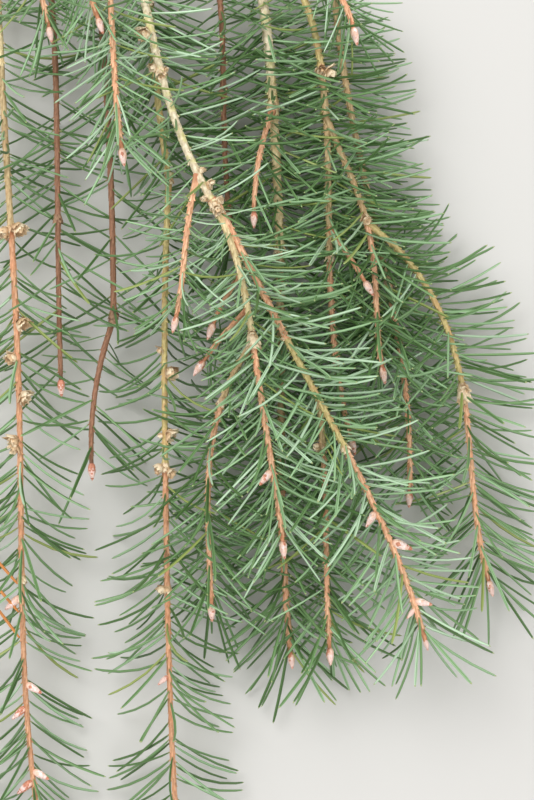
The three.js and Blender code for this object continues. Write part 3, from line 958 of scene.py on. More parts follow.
@dataclass(frozen=True)
class Nodes:
    """Adds nodes to a shader or geometry node tree and links them with little writing."""

    tree: NodeTree

    def add(self, kind: str, values: Optional[dict] = None, **settings: object) -> Node:
        """Adds a node.

        Args:
            kind: The node's type.
            values: Input names with a value, or an output socket to link from.
            settings: The node's own properties.

        Returns:
            The node.
        """
        node = self.tree.nodes.new(kind)
        for name, value in settings.items():
            setattr(node, name, value)
        for name, value in (values or {}).items():
            self.put(self.entry(node, name), value)
        return node

    @staticmethod
    def entry(node: Node, name: str) -> NodeSocket:
        """The input of a node that has this name and is in use."""
        return next(socket for socket in node.inputs if socket.name == name and socket.enabled)

    def put(self, socket: NodeSocket, value: object) -> None:
        """Links an input from an output, or sets it.

        Args:
            socket: The input.
            value: A value, or an output to link from.
        """
        if isinstance(value, NodeSocket):
            self.tree.links.new(value, socket)
        else:
            socket.default_value = value

    def calculated(self, operation: str, *values: object) -> NodeSocket:
        """Adds a calculation.

        Args:
            operation: Its kind.
            values: Numbers or sockets.

        Returns:
            The result.
        """
        node = self.add("ShaderNodeMath", operation=operation)
        for socket, value in zip(node.inputs, values):
            self.put(socket, value)
        return node.outputs[0]

    def ranged(self, value: object, low: object, high: object, to_low: float = 0.0,
               to_high: float = 1.0) -> NodeSocket:
        """Brings a value from one range into another, and keeps it in that.

        Args:
            value: The value.
            low: Start of its range.
            high: End of its range.
            to_low: Start of the new range.
            to_high: End of the new range.

        Returns:
            The new value.
        """
        node = self.add("ShaderNodeMapRange", {
            "Value": value, "From Min": low, "From Max": high, "To Min": to_low, "To Max": to_high})
        return node.outputs["Result"]

    def mix(self, share: object, *colours: object) -> NodeSocket:
        """Mixes two colours.

        Args:
            share: Share of the second.
            colours: The colours, or sockets.

        Returns:
            The mixed colour.
        """
        node = self.add("ShaderNodeMix", data_type="RGBA")
        self.put(node.inputs[0], share)
        places = [socket for socket in node.inputs if socket.type == "RGBA"]
        for socket, value in zip(places, colours):
            self.put(socket, (*value, 1.0) if isinstance(value, tuple) else value)
        return next(socket for socket in node.outputs if socket.type == "RGBA")


@dataclass(frozen=True)
class Grain:
    """The grain that bark, scales and cut wood share: streaks, and specks among them.

    streak_band is where the noise under the streaks turns from none to full, and streak_height how
    high they stand beside the specks.
    """

    fineness: float = 900.0
    speck_size: float = 1500.0
    softness: float = 0.2
    detail: float = 4.0
    roughness: float = 0.6
    streak_band: Pair = (0.36, 0.64)
    streak_height: float = 0.7

    def group(self) -> NodeTree:
        """Builds the grain.

        Returns:
            A shader node group with a streak mask, a speck mask and a height.
        """
        group = bpy.data.node_groups.new("plant_grain", "ShaderNodeTree")
        face = group.interface
        face.new_socket("Vector", in_out="INPUT", socket_type="NodeSocketVector")
        for name, value in (("Fineness", self.fineness), ("Speck Size", self.speck_size),
                            ("Softness", self.softness)):
            face.new_socket(name, in_out="INPUT", socket_type="NodeSocketFloat").default_value = value
        for name in ("Streaks", "Specks", "Height"):
            face.new_socket(name, in_out="OUTPUT", socket_type="NodeSocketFloat")
        nodes = Nodes(group)
        entry = nodes.add("NodeGroupInput").outputs
        noisy = nodes.add("ShaderNodeTexNoise", {
            "Vector": entry["Vector"], "Scale": entry["Fineness"], "Detail": self.detail,
            "Roughness": self.roughness})
        cells = nodes.add("ShaderNodeTexVoronoi", {
            "Vector": entry["Vector"], "Scale": entry["Speck Size"]})
        streaks = nodes.ranged(noisy.outputs["Fac"], *self.streak_band)
        specks = nodes.ranged(cells.outputs["Distance"], entry["Softness"], 0.0)
        height = nodes.calculated("MULTIPLY_ADD", streaks, self.streak_height, specks)
        nodes.add("NodeGroupOutput", {"Streaks": streaks, "Specks": specks, "Height": height})
        return group


def blank_material(name: str) -> tuple[Material, Nodes, Node]:
    """Makes a material with only a Principled shader.

    Args:
        name: The material's name.

    Returns:
        The material, its nodes and the shader.
    """
    material = bpy.data.materials.new(name)
    material.use_nodes = True
    tree = material.node_tree
    tree.nodes.clear()
    nodes = Nodes(tree)
    shader = nodes.add("ShaderNodeBsdfPrincipled")
    nodes.add("ShaderNodeOutputMaterial", {"Surface": shader.outputs["BSDF"]})
    return material, nodes, shader


@dataclass(frozen=True)
class PlainFinish:
    """A waxy plant surface of one even colour."""

    name: str
    colour: Colour
    roughness: float = 0.36
    specular: float = 0.5

    def material(self) -> Material:
        """Builds the material.

        Returns:
            The material.
        """
        material, _, shader = blank_material(self.name)
        shader.inputs["Base Color"].default_value = (*self.colour, 1.0)
        shader.inputs["Roughness"].default_value = self.roughness
        shader.inputs["Specular IOR Level"].default_value = self.specular
        material.diffuse_color = (*self.colour, 1.0)
        return material


@dataclass(frozen=True, kw_only=True)
class GrainedFinish:
    """The size of a finish's grain, and how it changes the roughness and lifts the surface."""

    fineness: float = 1000.0
    speck_size: float = 1700.0
    roughness: float = 0.72
    rough_spread: float = 0.1
    bump: float = 0.35
    bump_depth: float = 0.0002

    def lay_grain(self, nodes: Nodes, shader: Node, grain: NodeTree,
                  place: NodeSocket) -> Node:
        """Lays the shared grain on a shader's roughness and normal.

        Args:
            nodes: The material's nodes.
            shader: The Principled shader.
            grain: The shared grain group.
            place: The place that the grain is read at.

        Returns:
            The grain's node.
        """
        group = nodes.add("ShaderNodeGroup", {
            "Vector": place, "Fineness": self.fineness, "Speck Size": self.speck_size}, node_tree=grain)
        rough = nodes.ranged(group.outputs["Streaks"], 0.0, 1.0, self.roughness - self.rough_spread,
                             self.roughness + self.rough_spread)
        nodes.put(shader.inputs["Roughness"], rough)
        bump = nodes.add("ShaderNodeBump", {
            "Strength": self.bump, "Distance": self.bump_depth, "Height": group.outputs["Height"]})
        nodes.put(shader.inputs["Normal"], bump.outputs["Normal"])
        return group


@dataclass(frozen=True)
class BarkFinish(GrainedFinish):
    """Bark whose ridges, furrows and specks have their own colours, with stains a few mm wide.

    stretch draws the grain out along the shoots, light is the value and saturation of its streaks
    beside the bark's, and stain_band where the noise under the stains turns from none to full.
    """

    name: str
    ridge: Colour
    furrow: Colour
    fleck: Colour
    fleck_share: float = 0.45
    stretch: float = 0.4
    light: Pair = (1.35, 0.9)
    stain: Optional[Colour] = None
    stain_share: float = 0.5
    stain_size: float = 210.0
    stain_detail: float = 2.0
    stain_band: Pair = (0.5, 0.62)

    def material(self, grain: NodeTree) -> Material:
        """Builds the material.

        Args:
            grain: The shared grain group.

        Returns:
            The material.
        """
        material, nodes, shader = blank_material(self.name)
        place = nodes.add("ShaderNodeTexCoord").outputs["Object"]
        drawn = nodes.add("ShaderNodeMapping", {"Vector": place, "Scale": (1.0, self.stretch, 1.0)})
        group = self.lay_grain(nodes, shader, grain, drawn.outputs["Vector"])
        relief = nodes.add("ShaderNodeAttribute", attribute_name="relief").outputs["Fac"]
        base = nodes.mix(relief, self.furrow, self.ridge)
        if self.stain:
            base = nodes.mix(self.stains(nodes, place), base, self.stain)
        value, saturation = self.light
        lighter = nodes.add("ShaderNodeHueSaturation", {
            "Color": base, "Value": value, "Saturation": saturation})
        streaked = nodes.mix(group.outputs["Streaks"], base, lighter.outputs["Color"])
        specks = nodes.calculated("MULTIPLY", group.outputs["Specks"], self.fleck_share)
        nodes.put(shader.inputs["Base Color"], nodes.mix(specks, streaked, self.fleck))
        return material

    def stains(self, nodes: Nodes, place: NodeSocket) -> NodeSocket:
        """Adds soft stains.

        Args:
            nodes: The material's nodes.
            place: The place that they are read at.

        Returns:
            Their mask.
        """
        blots = nodes.add("ShaderNodeTexNoise", {
            "Vector": place, "Scale": self.stain_size, "Detail": self.stain_detail})
        return nodes.ranged(blots.outputs["Fac"], *self.stain_band, 0.0, self.stain_share)


@dataclass(frozen=True)
class CutWoodFinish(GrainedFinish):
    """Pale sawn wood with yearly rings round the limb's middle line.

    The rings are bands of noise over the distance from the middle, which a second noise makes wave.
    """

    name: str = "cut_wood"
    early: Colour = srgb(226, 203, 160)
    late: Colour = srgb(178, 132, 84)
    ring_width: float = 0.8
    ring_detail: float = 3.0
    ring_band: Pair = (0.44, 0.68)
    wave_scale: float = 160.0
    fineness: float = 900.0
    speck_size: float = 1500.0
    roughness: float = 0.8
    bump: float = 0.3

    def material(self, grain: NodeTree, centre: Vector) -> Material:
        """Builds the material.

        Args:
            grain: The shared grain group.
            centre: Middle of the cut, in metres.

        Returns:
            The material.
        """
        material, nodes, shader = blank_material(self.name)
        place = nodes.add("ShaderNodeTexCoord").outputs["Object"]
        moved = nodes.add("ShaderNodeMapping", {"Vector": place, "Location": -centre})
        centred = moved.outputs["Vector"]
        waves = nodes.add("ShaderNodeTexNoise", {"Vector": centred, "Scale": self.wave_scale})
        reach = nodes.add("ShaderNodeVectorMath", operation="LENGTH")
        nodes.put(reach.inputs[0], centred)
        width = self.ring_width * MM
        waved = nodes.calculated("MULTIPLY_ADD", waves.outputs["Fac"], width, reach.outputs["Value"])
        years = nodes.add("ShaderNodeTexNoise", {
            "W": waved, "Scale": 1 / width, "Detail": self.ring_detail}, noise_dimensions="1D")
        rings = nodes.ranged(years.outputs["Fac"], *self.ring_band)
        nodes.put(shader.inputs["Base Color"], nodes.mix(rings, self.early, self.late))
        self.lay_grain(nodes, shader, grain, centred)
        return material


# Blade and band colours of each tint, lightest to darkest; the steps are partly the needles' own colours
# and partly painted light and painted shade.
NEEDLE_COLOURS = {
    Tint.FROSTED: (srgb(132, 166, 122), srgb(188, 216, 184)),
    Tint.PALE: (srgb(104, 142, 88), srgb(154, 190, 144)),
    Tint.GREEN: (srgb(78, 113, 58), srgb(116, 152, 100)),
    Tint.DEEP: (srgb(56, 87, 38), srgb(84, 118, 66)),
    Tint.OLIVE: (srgb(122, 142, 64), srgb(156, 172, 98)),
}
DEAD_FINISH = PlainFinish("needle_dead", srgb(238, 156, 88), 0.6)
FOOT_FINISH = PlainFinish("needle_foot", srgb(140, 150, 92))
POINT_FINISH = PlainFinish("needle_point", srgb(164, 178, 122))
BARK_FINISHES = {
    Age.YOUNG: BarkFinish("bark_young", srgb(246, 200, 158), srgb(184, 118, 80), srgb(152, 92, 62),
        stain=srgb(226, 154, 110)),
    Age.SECOND: BarkFinish("bark_second_year", srgb(214, 190, 142), srgb(148, 120, 78),
        srgb(124, 96, 64), stain=srgb(190, 148, 102)),
    Age.THIRD: BarkFinish("bark_third_year", srgb(242, 230, 202), srgb(178, 158, 118),
        srgb(160, 124, 92), stain=srgb(204, 198, 118), stain_share=0.65),
    # Painted shade: a darker copy of the bark, for shoots in shade.
    Age.SHADED: BarkFinish("bark_shaded", srgb(170, 120, 88), srgb(108, 72, 50), srgb(84, 54, 38)),
    # Painted shade: the young bark, darker and a little yellower.
    Age.TAN: BarkFinish("bark_tan", srgb(224, 174, 132), srgb(160, 104, 68), srgb(132, 82, 52),
        stain=srgb(206, 136, 92)),
    Age.OLIVE: BarkFinish("bark_olive", srgb(224, 206, 140), srgb(152, 132, 74), srgb(128, 104, 60),
        stain=srgb(196, 150, 98), stain_share=0.6),
    Age.CREAM: BarkFinish("bark_cream", srgb(242, 224, 174), srgb(178, 154, 108), srgb(150, 124, 84),
        stain=srgb(214, 180, 122), stain_share=0.6),
    Age.OLD: BarkFinish("limb_bark", srgb(168, 146, 122), srgb(92, 72, 56), srgb(190, 176, 152),
        fineness=260.0, speck_size=420.0, roughness=0.85, bump=0.5, bump_depth=0.0004,
        stain=srgb(150, 158, 128), stain_size=110.0),
}
SCALE_FINISHES = {
    Scale.PINK: BarkFinish("bud_scale_pink", srgb(246, 226, 222), srgb(232, 196, 186),
        srgb(210, 150, 132), 0.15, roughness=0.5, bump=0.12),
    Scale.RED: BarkFinish("bud_scale_red", srgb(214, 140, 108), srgb(172, 92, 66),
        srgb(140, 70, 50), 0.2, roughness=0.5, bump=0.12),
    Scale.HUSK: BarkFinish("husk_scale", srgb(214, 182, 140), srgb(156, 116, 80),
        srgb(130, 92, 64), 0.3, roughness=0.75, bump=0.2),
    Scale.CREAM: BarkFinish("husk_cream", srgb(236, 218, 186), srgb(194, 160, 122),
        srgb(160, 122, 88), 0.25, roughness=0.7, bump=0.2),
    Scale.BLUSH: BarkFinish("bud_scale_blush", srgb(244, 206, 186), srgb(218, 162, 134),
        srgb(188, 118, 92), 0.2, roughness=0.5, bump=0.12),
    # Painted shade: a darker husk colour, for shoots in shade.
    Scale.DUN: BarkFinish("husk_dun", srgb(168, 132, 102), srgb(112, 80, 58),
        srgb(92, 62, 46), 0.3, roughness=0.75, bump=0.2),
}


class Palette:
    """Every material of the branch, made once."""

    def __init__(self) -> None:
        """Builds the materials."""
        self.grain = Grain().group()
        self.barks = {age: finish.material(self.grain) for age, finish in BARK_FINISHES.items()}
        self.scales = {scale: finish.material(self.grain) for scale, finish in SCALE_FINISHES.items()}

    @staticmethod
    def needle_picks() -> list["Pick"]:
        """Chooses which faces of the needles take which material.

        Returns:
            The picks, in the order in which they are laid on.
        """
        picks = []
        for tint, colours in NEEDLE_COLOURS.items():
            name = f"needle_{tint.name.lower()}"
            blade, band = (PlainFinish(name + end, colour).material()
                           for end, colour in zip(("", "_band"), colours))
            picks += [Pick(blade, {"tint": tint.value}),
                      Pick(band, {"tint": tint.value, "part": Part.BAND.value})]
        return picks + [Pick(FOOT_FINISH.material(), {"part": Part.FOOT.value}),
                        Pick(POINT_FINISH.material(), {"part": Part.POINT.value}),
                        Pick(DEAD_FINISH.material(), {"tint": Tint.DEAD.value})]

    @staticmethod
    def tint_picks(materials: dict[Enum, Material]) -> list["Pick"]:
        """Which faces take which material, where only the tint says so."""
        return [Pick(material, {"tint": kind.value}) for kind, material in materials.items()]


@dataclass(frozen=True)
class Pick:
    """A material for the faces whose whole-number attributes have these values."""

    material: Material
    where: dict[str, int]


class ScatterTree:
    """A geometry node tree that sets small forms on points and gives their faces materials."""

    INPUTS = {"Forms": "NodeSocketCollection", "Size": "NodeSocketFloat", "Twist": "NodeSocketFloat",
              "Seed": "NodeSocketInt"}
    WORK_ATTRIBUTES = ("turn", "stretch", "form", "tint", "part")

    def __init__(self, name: str, picks: Sequence[Pick]) -> None:
        """Builds the tree.

        Args:
            name: The tree's name.
            picks: Materials in the order in which they are laid on.
        """
        self.tree = bpy.data.node_groups.new(name, "GeometryNodeTree")
        face = self.tree.interface
        face.new_socket("Points", in_out="INPUT", socket_type="NodeSocketGeometry")
        self.inputs = {title: face.new_socket(title, in_out="INPUT", socket_type=kind).identifier
                       for title, kind in self.INPUTS.items()}
        face.new_socket("Mesh", in_out="OUTPUT", socket_type="NodeSocketGeometry")
        nodes = Nodes(self.tree)
        entry = nodes.add("NodeGroupInput").outputs
        forms = nodes.add("GeometryNodeCollectionInfo", {
            "Collection": entry["Forms"], "Separate Children": True, "Reset Children": True})
        size = nodes.calculated("MULTIPLY", self.attribute(nodes, "stretch", "FLOAT"), entry["Size"])
        placed = nodes.add("GeometryNodeInstanceOnPoints", {
            "Points": entry["Points"], "Instance": forms.outputs["Instances"], "Pick Instance": True,
            "Instance Index": self.attribute(nodes, "form", "INT"),
            "Rotation": self.turned(nodes, entry), "Scale": size})
        real = nodes.add("GeometryNodeRealizeInstances", {"Geometry": placed.outputs["Instances"]})
        last = real.outputs["Geometry"]
        for pick in picks:
            setter = nodes.add("GeometryNodeSetMaterial", {
                "Geometry": last, "Selection": self.matches(nodes, pick.where), "Material": pick.material})
            last = setter.outputs["Geometry"]
        nodes.add("NodeGroupOutput", {"Mesh": last})

    def turned(self, nodes: Nodes, entry: bpy.types.bpy_prop_collection) -> NodeSocket:
        """Rolls each point's turn at random about the form's own length.

        Args:
            nodes: The tree's nodes.
            entry: The tree's inputs.

        Returns:
            The turn.
        """
        twist = nodes.add("FunctionNodeRandomValue", {
            "Min": nodes.calculated("MULTIPLY", entry["Twist"], -1.0), "Max": entry["Twist"],
            "Seed": entry["Seed"]}, data_type="FLOAT")
        roll = nodes.add("FunctionNodeAxisAngleToRotation", {
            "Axis": (1.0, 0.0, 0.0), "Angle": next(out for out in twist.outputs if out.enabled)})
        turned = nodes.add("FunctionNodeRotateRotation", {
            "Rotation": self.attribute(nodes, "turn", "QUATERNION"),
            "Rotate By": roll.outputs["Rotation"]}, rotation_space="LOCAL")
        return turned.outputs["Rotation"]

    @staticmethod
    def attribute(nodes: Nodes, name: str, kind: str) -> NodeSocket:
        """Reads a named attribute of the points."""
        node = nodes.add("GeometryNodeInputNamedAttribute", {"Name": name}, data_type=kind)
        return next(out for out in node.outputs if out.name == "Attribute" and out.enabled)

    def matches(self, nodes: Nodes, where: dict[str, int]) -> NodeSocket:
        """Tests whether every attribute has its value.

        Args:
            nodes: The tree's nodes.
            where: The values by attribute.

        Returns:
            True where they have.
        """
        result: Optional[NodeSocket] = None
        for name, value in where.items():
            test = nodes.add("FunctionNodeCompare", {
                "A": self.attribute(nodes, name, "INT"), "B": value}, data_type="INT", operation="EQUAL")
            truth = test.outputs["Result"]
            if result is not None:
                both = nodes.add("FunctionNodeBooleanMath", operation="AND")
                nodes.put(both.inputs[0], result)
                nodes.put(both.inputs[1], truth)
                truth = both.outputs[0]
            result = truth
        return result

    def scatter(self, name: str, places: "Places", forms: Sequence[Mesh], twist: float = 0.0,
                seed: int = 1) -> Object:
        """Sets forms on places and turns the result into a plain mesh object.

        Args:
            name: The object's name.
            places: Where the forms go.
            forms: The forms that places pick from.
            twist: Most that a form rolls about its own length, in radians.
            seed: Seed of the roll.

        Returns:
            The object.
        """
        shelf = bpy.data.collections.new("forms_" + name)
        kept = [bpy.data.objects.new(f"form_{index:02d}", form) for index, form in enumerate(forms)]
        for item in kept:
            shelf.objects.link(item)
        holder = link_object("points_" + name, places.mesh("points_" + name))
        modifier = holder.modifiers.new("scatter", "NODES")
        modifier.node_group = self.tree
        for title, value in (("Forms", shelf), ("Size", 1.0), ("Twist", twist), ("Seed", seed)):
            modifier[self.inputs[title]] = value
        graph = bpy.context.evaluated_depsgraph_get()
        mesh = bpy.data.meshes.new_from_object(holder.evaluated_get(graph), depsgraph=graph)
        mesh.name = name
        for title in self.WORK_ATTRIBUTES:
            if title in mesh.attributes:
                mesh.attributes.remove(mesh.attributes[title])
        holder.modifiers.remove(modifier)
        cloud = holder.data
        for item in (holder, *kept):
            bpy.data.objects.remove(item)
        bpy.data.meshes.remove(cloud)
        bpy.data.collections.remove(shelf)
        return link_object(name, mesh)


def link_object(name: str, data: bpy.types.ID) -> Object:
    """Puts data in the scene as an object at the origin.

    Args:
        name: The object's name.
        data: Its mesh, light or camera.

    Returns:
        The object.
    """
    piece = bpy.data.objects.new(name, data)
    bpy.context.scene.collection.objects.link(piece)
    return piece


@dataclass
class Places:
    """Points that forms are set on: place, the form's length and back directions, and its looks."""

    point: Array
    length_axis: Array
    back_axis: Array
    stretch: Array
    form: Array
    tint: Array

    def mesh(self, name: str) -> Mesh:
        """Writes the points, with their turns as quaternions.

        Args:
            name: The mesh's name.

        Returns:
            The mesh.
        """
        mesh = bpy.data.meshes.new(name)
        mesh.vertices.add(len(self.point))
        mesh.vertices.foreach_set("co", (self.point * MM).astype(np.float32).ravel())
        x_axis = unit(self.length_axis)
        z_axis = unit(self.back_axis - x_axis * np.einsum("ij,ij->i", self.back_axis, x_axis)[:, None])
        y_axis = np.cross(z_axis, x_axis)
        turns = np.array([Matrix(axes).transposed().to_quaternion()
                          for axes in zip(x_axis, y_axis, z_axis)])
        for title, kind, values in (
                ("turn", "QUATERNION", turns.astype(np.float32).ravel()),
                ("stretch", "FLOAT", self.stretch.astype(np.float32)),
                ("form", "INT", self.form.astype(np.int32)),
                ("tint", "INT", self.tint.astype(np.int32))):
            mesh.attributes.new(title, kind, "POINT").data.foreach_set("value", values)
        return mesh


def arc(angle: Array, step: float) -> tuple[Array, Array]:
    """Distances ahead and aside along a chain of steps, each at its own angle in radians."""
    return tuple(np.concatenate([[0], np.cumsum(turn(angle))]) * step for turn in (np.cos, np.sin))


@dataclass(frozen=True)
class NeedleForm:
    """One needle of full length, lying along X and curving towards +Z.

    Its section is a low rhomb with a narrow green ridge above and below, and a pale band of
    breathing pores on each of its four slopes. corners are turns round the section in degrees,
    edges and ridges numbers of corners and of faces.
    """

    length: float = 30.0
    half_width: float = 0.59
    half_thickness: float = 0.5
    corners: Series = (0.0, 76.0, 104.0, 180.0, 256.0, 284.0)
    edges: tuple[int, ...] = (0, 3)
    ridges: tuple[int, ...] = (1, 4)
    stations: Series = (0.0, 0.03, 0.14, 0.4, 0.66, 0.88, 0.975, 1.0)
    girths: Series = (0.5, 0.62, 0.92, 1.0, 1.0, 0.94, 0.66, 0.16)
    steps: int = 200
    foot_share: float = 0.02
    point_share: float = 0.97

    def mesh(self, bend: float) -> Mesh:
        """Builds the needle.

        Args:
            bend: Degrees that it turns through from foot to point.

        Returns:
            The mesh, its faces marked with their part.
        """
        share = np.array(self.stations)
        fine = np.linspace(0, 1, self.steps + 1)
        angle = np.radians(bend) * fine
        ahead, aside = arc((angle[1:] + angle[:-1]) / 2, 1 / self.steps)
        zero = np.zeros_like(share)
        point = np.stack([np.interp(share, fine, ahead), zero, np.interp(share, fine, aside)], 1)
        lean = np.radians(bend) * share
        along = np.stack([np.cos(lean), zero, np.sin(lean)], 1)
        frames = Frames.square(point * self.length, along, (0.0, 1.0, 0.0))
        turn = np.radians(self.corners)
        is_ridge = ~np.isin(np.arange(len(turn)), self.edges)
        radii = np.array(self.girths)[:, None] * np.where(is_ridge, self.half_thickness, self.half_width)
        surface = turned_out(tube(frames, radii, angle=turn))
        mesh = surface.mesh("needle_form")
        mesh.attributes.remove(mesh.attributes["relief"])
        ends = np.zeros(len(mesh.edges) * 2, np.int32)
        mesh.edges.foreach_get("vertices", ends)
        side = ends.reshape(-1, 2) % len(self.corners)
        angled = (side[:, 0] == side[:, 1]) & np.isin(side[:, 0], self.edges)
        mesh.attributes.new("sharp_edge", "BOOLEAN", "EDGE").data.foreach_set("value", angled)
        part = mesh.attributes.new("part", "INT", "FACE")
        part.data.foreach_set("value", self.parts(surface, share))
        return mesh

    def parts(self, surface: Surface, share: Array) -> Array:
        """Marks each face as foot, blade, pale band or point.

        Args:
            surface: The needle.
            share: Where its rings lie, as shares of the length.

        Returns:
            The part of each face.
        """
        marks = []
        for middle in (share[1:] + share[:-1]) / 2:
            for side in range(len(self.corners)):
                mark = Part.BLADE if side in self.ridges else Part.BAND
                if middle < self.foot_share:
                    mark = Part.FOOT
                if middle > self.point_share:
                    mark = Part.POINT
                marks.append(mark.value)
        caps = sum(len(block) for block in surface.faces[1:])
        marks += [Part.FOOT.value] * (caps // 2) + [Part.POINT.value] * (caps - caps // 2)
        return np.array(marks, np.int32)


@dataclass(frozen=True)
class PegForm:
    """A leaf cushion's peg, along X, that a needle stands on."""

    length: float = 1.0
    radius: float = 0.33
    sides: int = 5
    rise: float = 0.12
    relief: float = 0.7
    stations: Series = (-0.35, 0.15, 0.6, 1.0)
    girths: Series = (1.7, 1.15, 0.85, 0.8)

    def mesh(self) -> Mesh:
        """Builds the peg, flared where it meets the bark.

        Returns:
            The mesh.
        """
        share = np.array(self.stations)
        zero = np.zeros_like(share)
        point = np.stack([share * self.length, zero, self.rise * self.length * share**2], 1)
        frames = Frames.square(point, (1.0, 0.0, 0.0), (0.0, 1.0, 0.0))
        radii = np.array(self.girths)[:, None] * np.full((1, self.sides), self.radius)
        surface = turned_out(tube(frames, radii))
        surface.relief[:] = self.relief
        return surface.mesh("peg_form")


@dataclass(frozen=True)
class ScaleForm:
    """A thin scale, along X, its back to +Z.

    outline is its half width at even steps from foot to tip, hollow how deep it is across, and
    crumple how far its far rim waves and frays. waves is how often it does, and thinning the
    share of the thickness that is lost at the rims and at the tip.
    """

    length: float = 2.4
    width: float = 2.1
    thickness: float = 0.1
    hollow: float = 0.5
    rows: int = 5
    outline: Series = (0.7, 1.0, 0.95, 0.66, 0.14)
    crumple: float = 0.0
    waves: Pair = (4.2, 5.1)
    thinning: Pair = (0.7, 0.6)
    foot_relief: float = 0.2

    def mesh(self, curl: float, phase: float = 0.0) -> Mesh:
        """Builds the scale.

        Args:
            curl: Degrees that it turns through towards +Z from foot to tip.
            phase: Where its crumpling starts, in radians.

        Returns:
            A closed mesh.
        """
        stations = len(self.outline)
        share = np.linspace(0, 1, stations)
        side = np.linspace(-1, 1, self.rows)
        half = self.width / 2 * np.array(self.outline)
        ahead, aside = arc(np.radians(curl) * share[1:], self.length / (stations - 1))
        depth = self.hollow * (1 - side**2)
        wave = self.crumple * np.sin(self.waves[0] * side + phase)[None] * (share**2)[:, None]
        fray = self.crumple * np.cos(self.waves[1] * side + 2 * phase)[None] * (share**3)[:, None]
        top = np.zeros((stations, self.rows, 3))
        top[..., 0] = ahead[:, None] + fray
        top[..., 1] = half[:, None] * side[None]
        top[..., 2] = aside[:, None] + depth[None] * (half / half.max())[:, None] + wave
        thin = self.thickness * (1 - self.thinning[0] * side**2)[None]
        bottom = top.copy()
        bottom[..., 2] -= thin * (1 - self.thinning[1] * share)[:, None]
        corners = np.concatenate([top.reshape(-1, 3), bottom.reshape(-1, 3)])
        index = np.arange(stations * self.rows).reshape(stations, self.rows)
        quads = np.stack([index[:-1, :-1], index[1:, :-1], index[1:, 1:], index[:-1, 1:]], 2)
        quads = quads.reshape(-1, 4)
        rim = np.concatenate([index[0, :], index[1:, -1], index[-1, -2::-1], index[-2:0:-1, 0]])
        after = np.roll(rim, -1)
        wall = np.stack([rim, after, after + index.size, rim + index.size], 1)
        faces = [quads, quads[:, ::-1] + index.size, wall]
        relief = self.foot_relief + (1 - self.foot_relief) * np.repeat(share, self.rows)
        slots = [np.zeros(len(block)) for block in faces]
        return turned_out(Surface(corners, faces, slots, np.tile(relief, 2))).mesh("scale_form")


WEAR = {Age.YOUNG: 0.0, Age.SECOND: 0.25, Age.THIRD: 0.6, Age.SHADED: 0.2, Age.TAN: 0.1,
        Age.OLIVE: 0.45, Age.CREAM: 0.35, Age.OLD: 0.8}


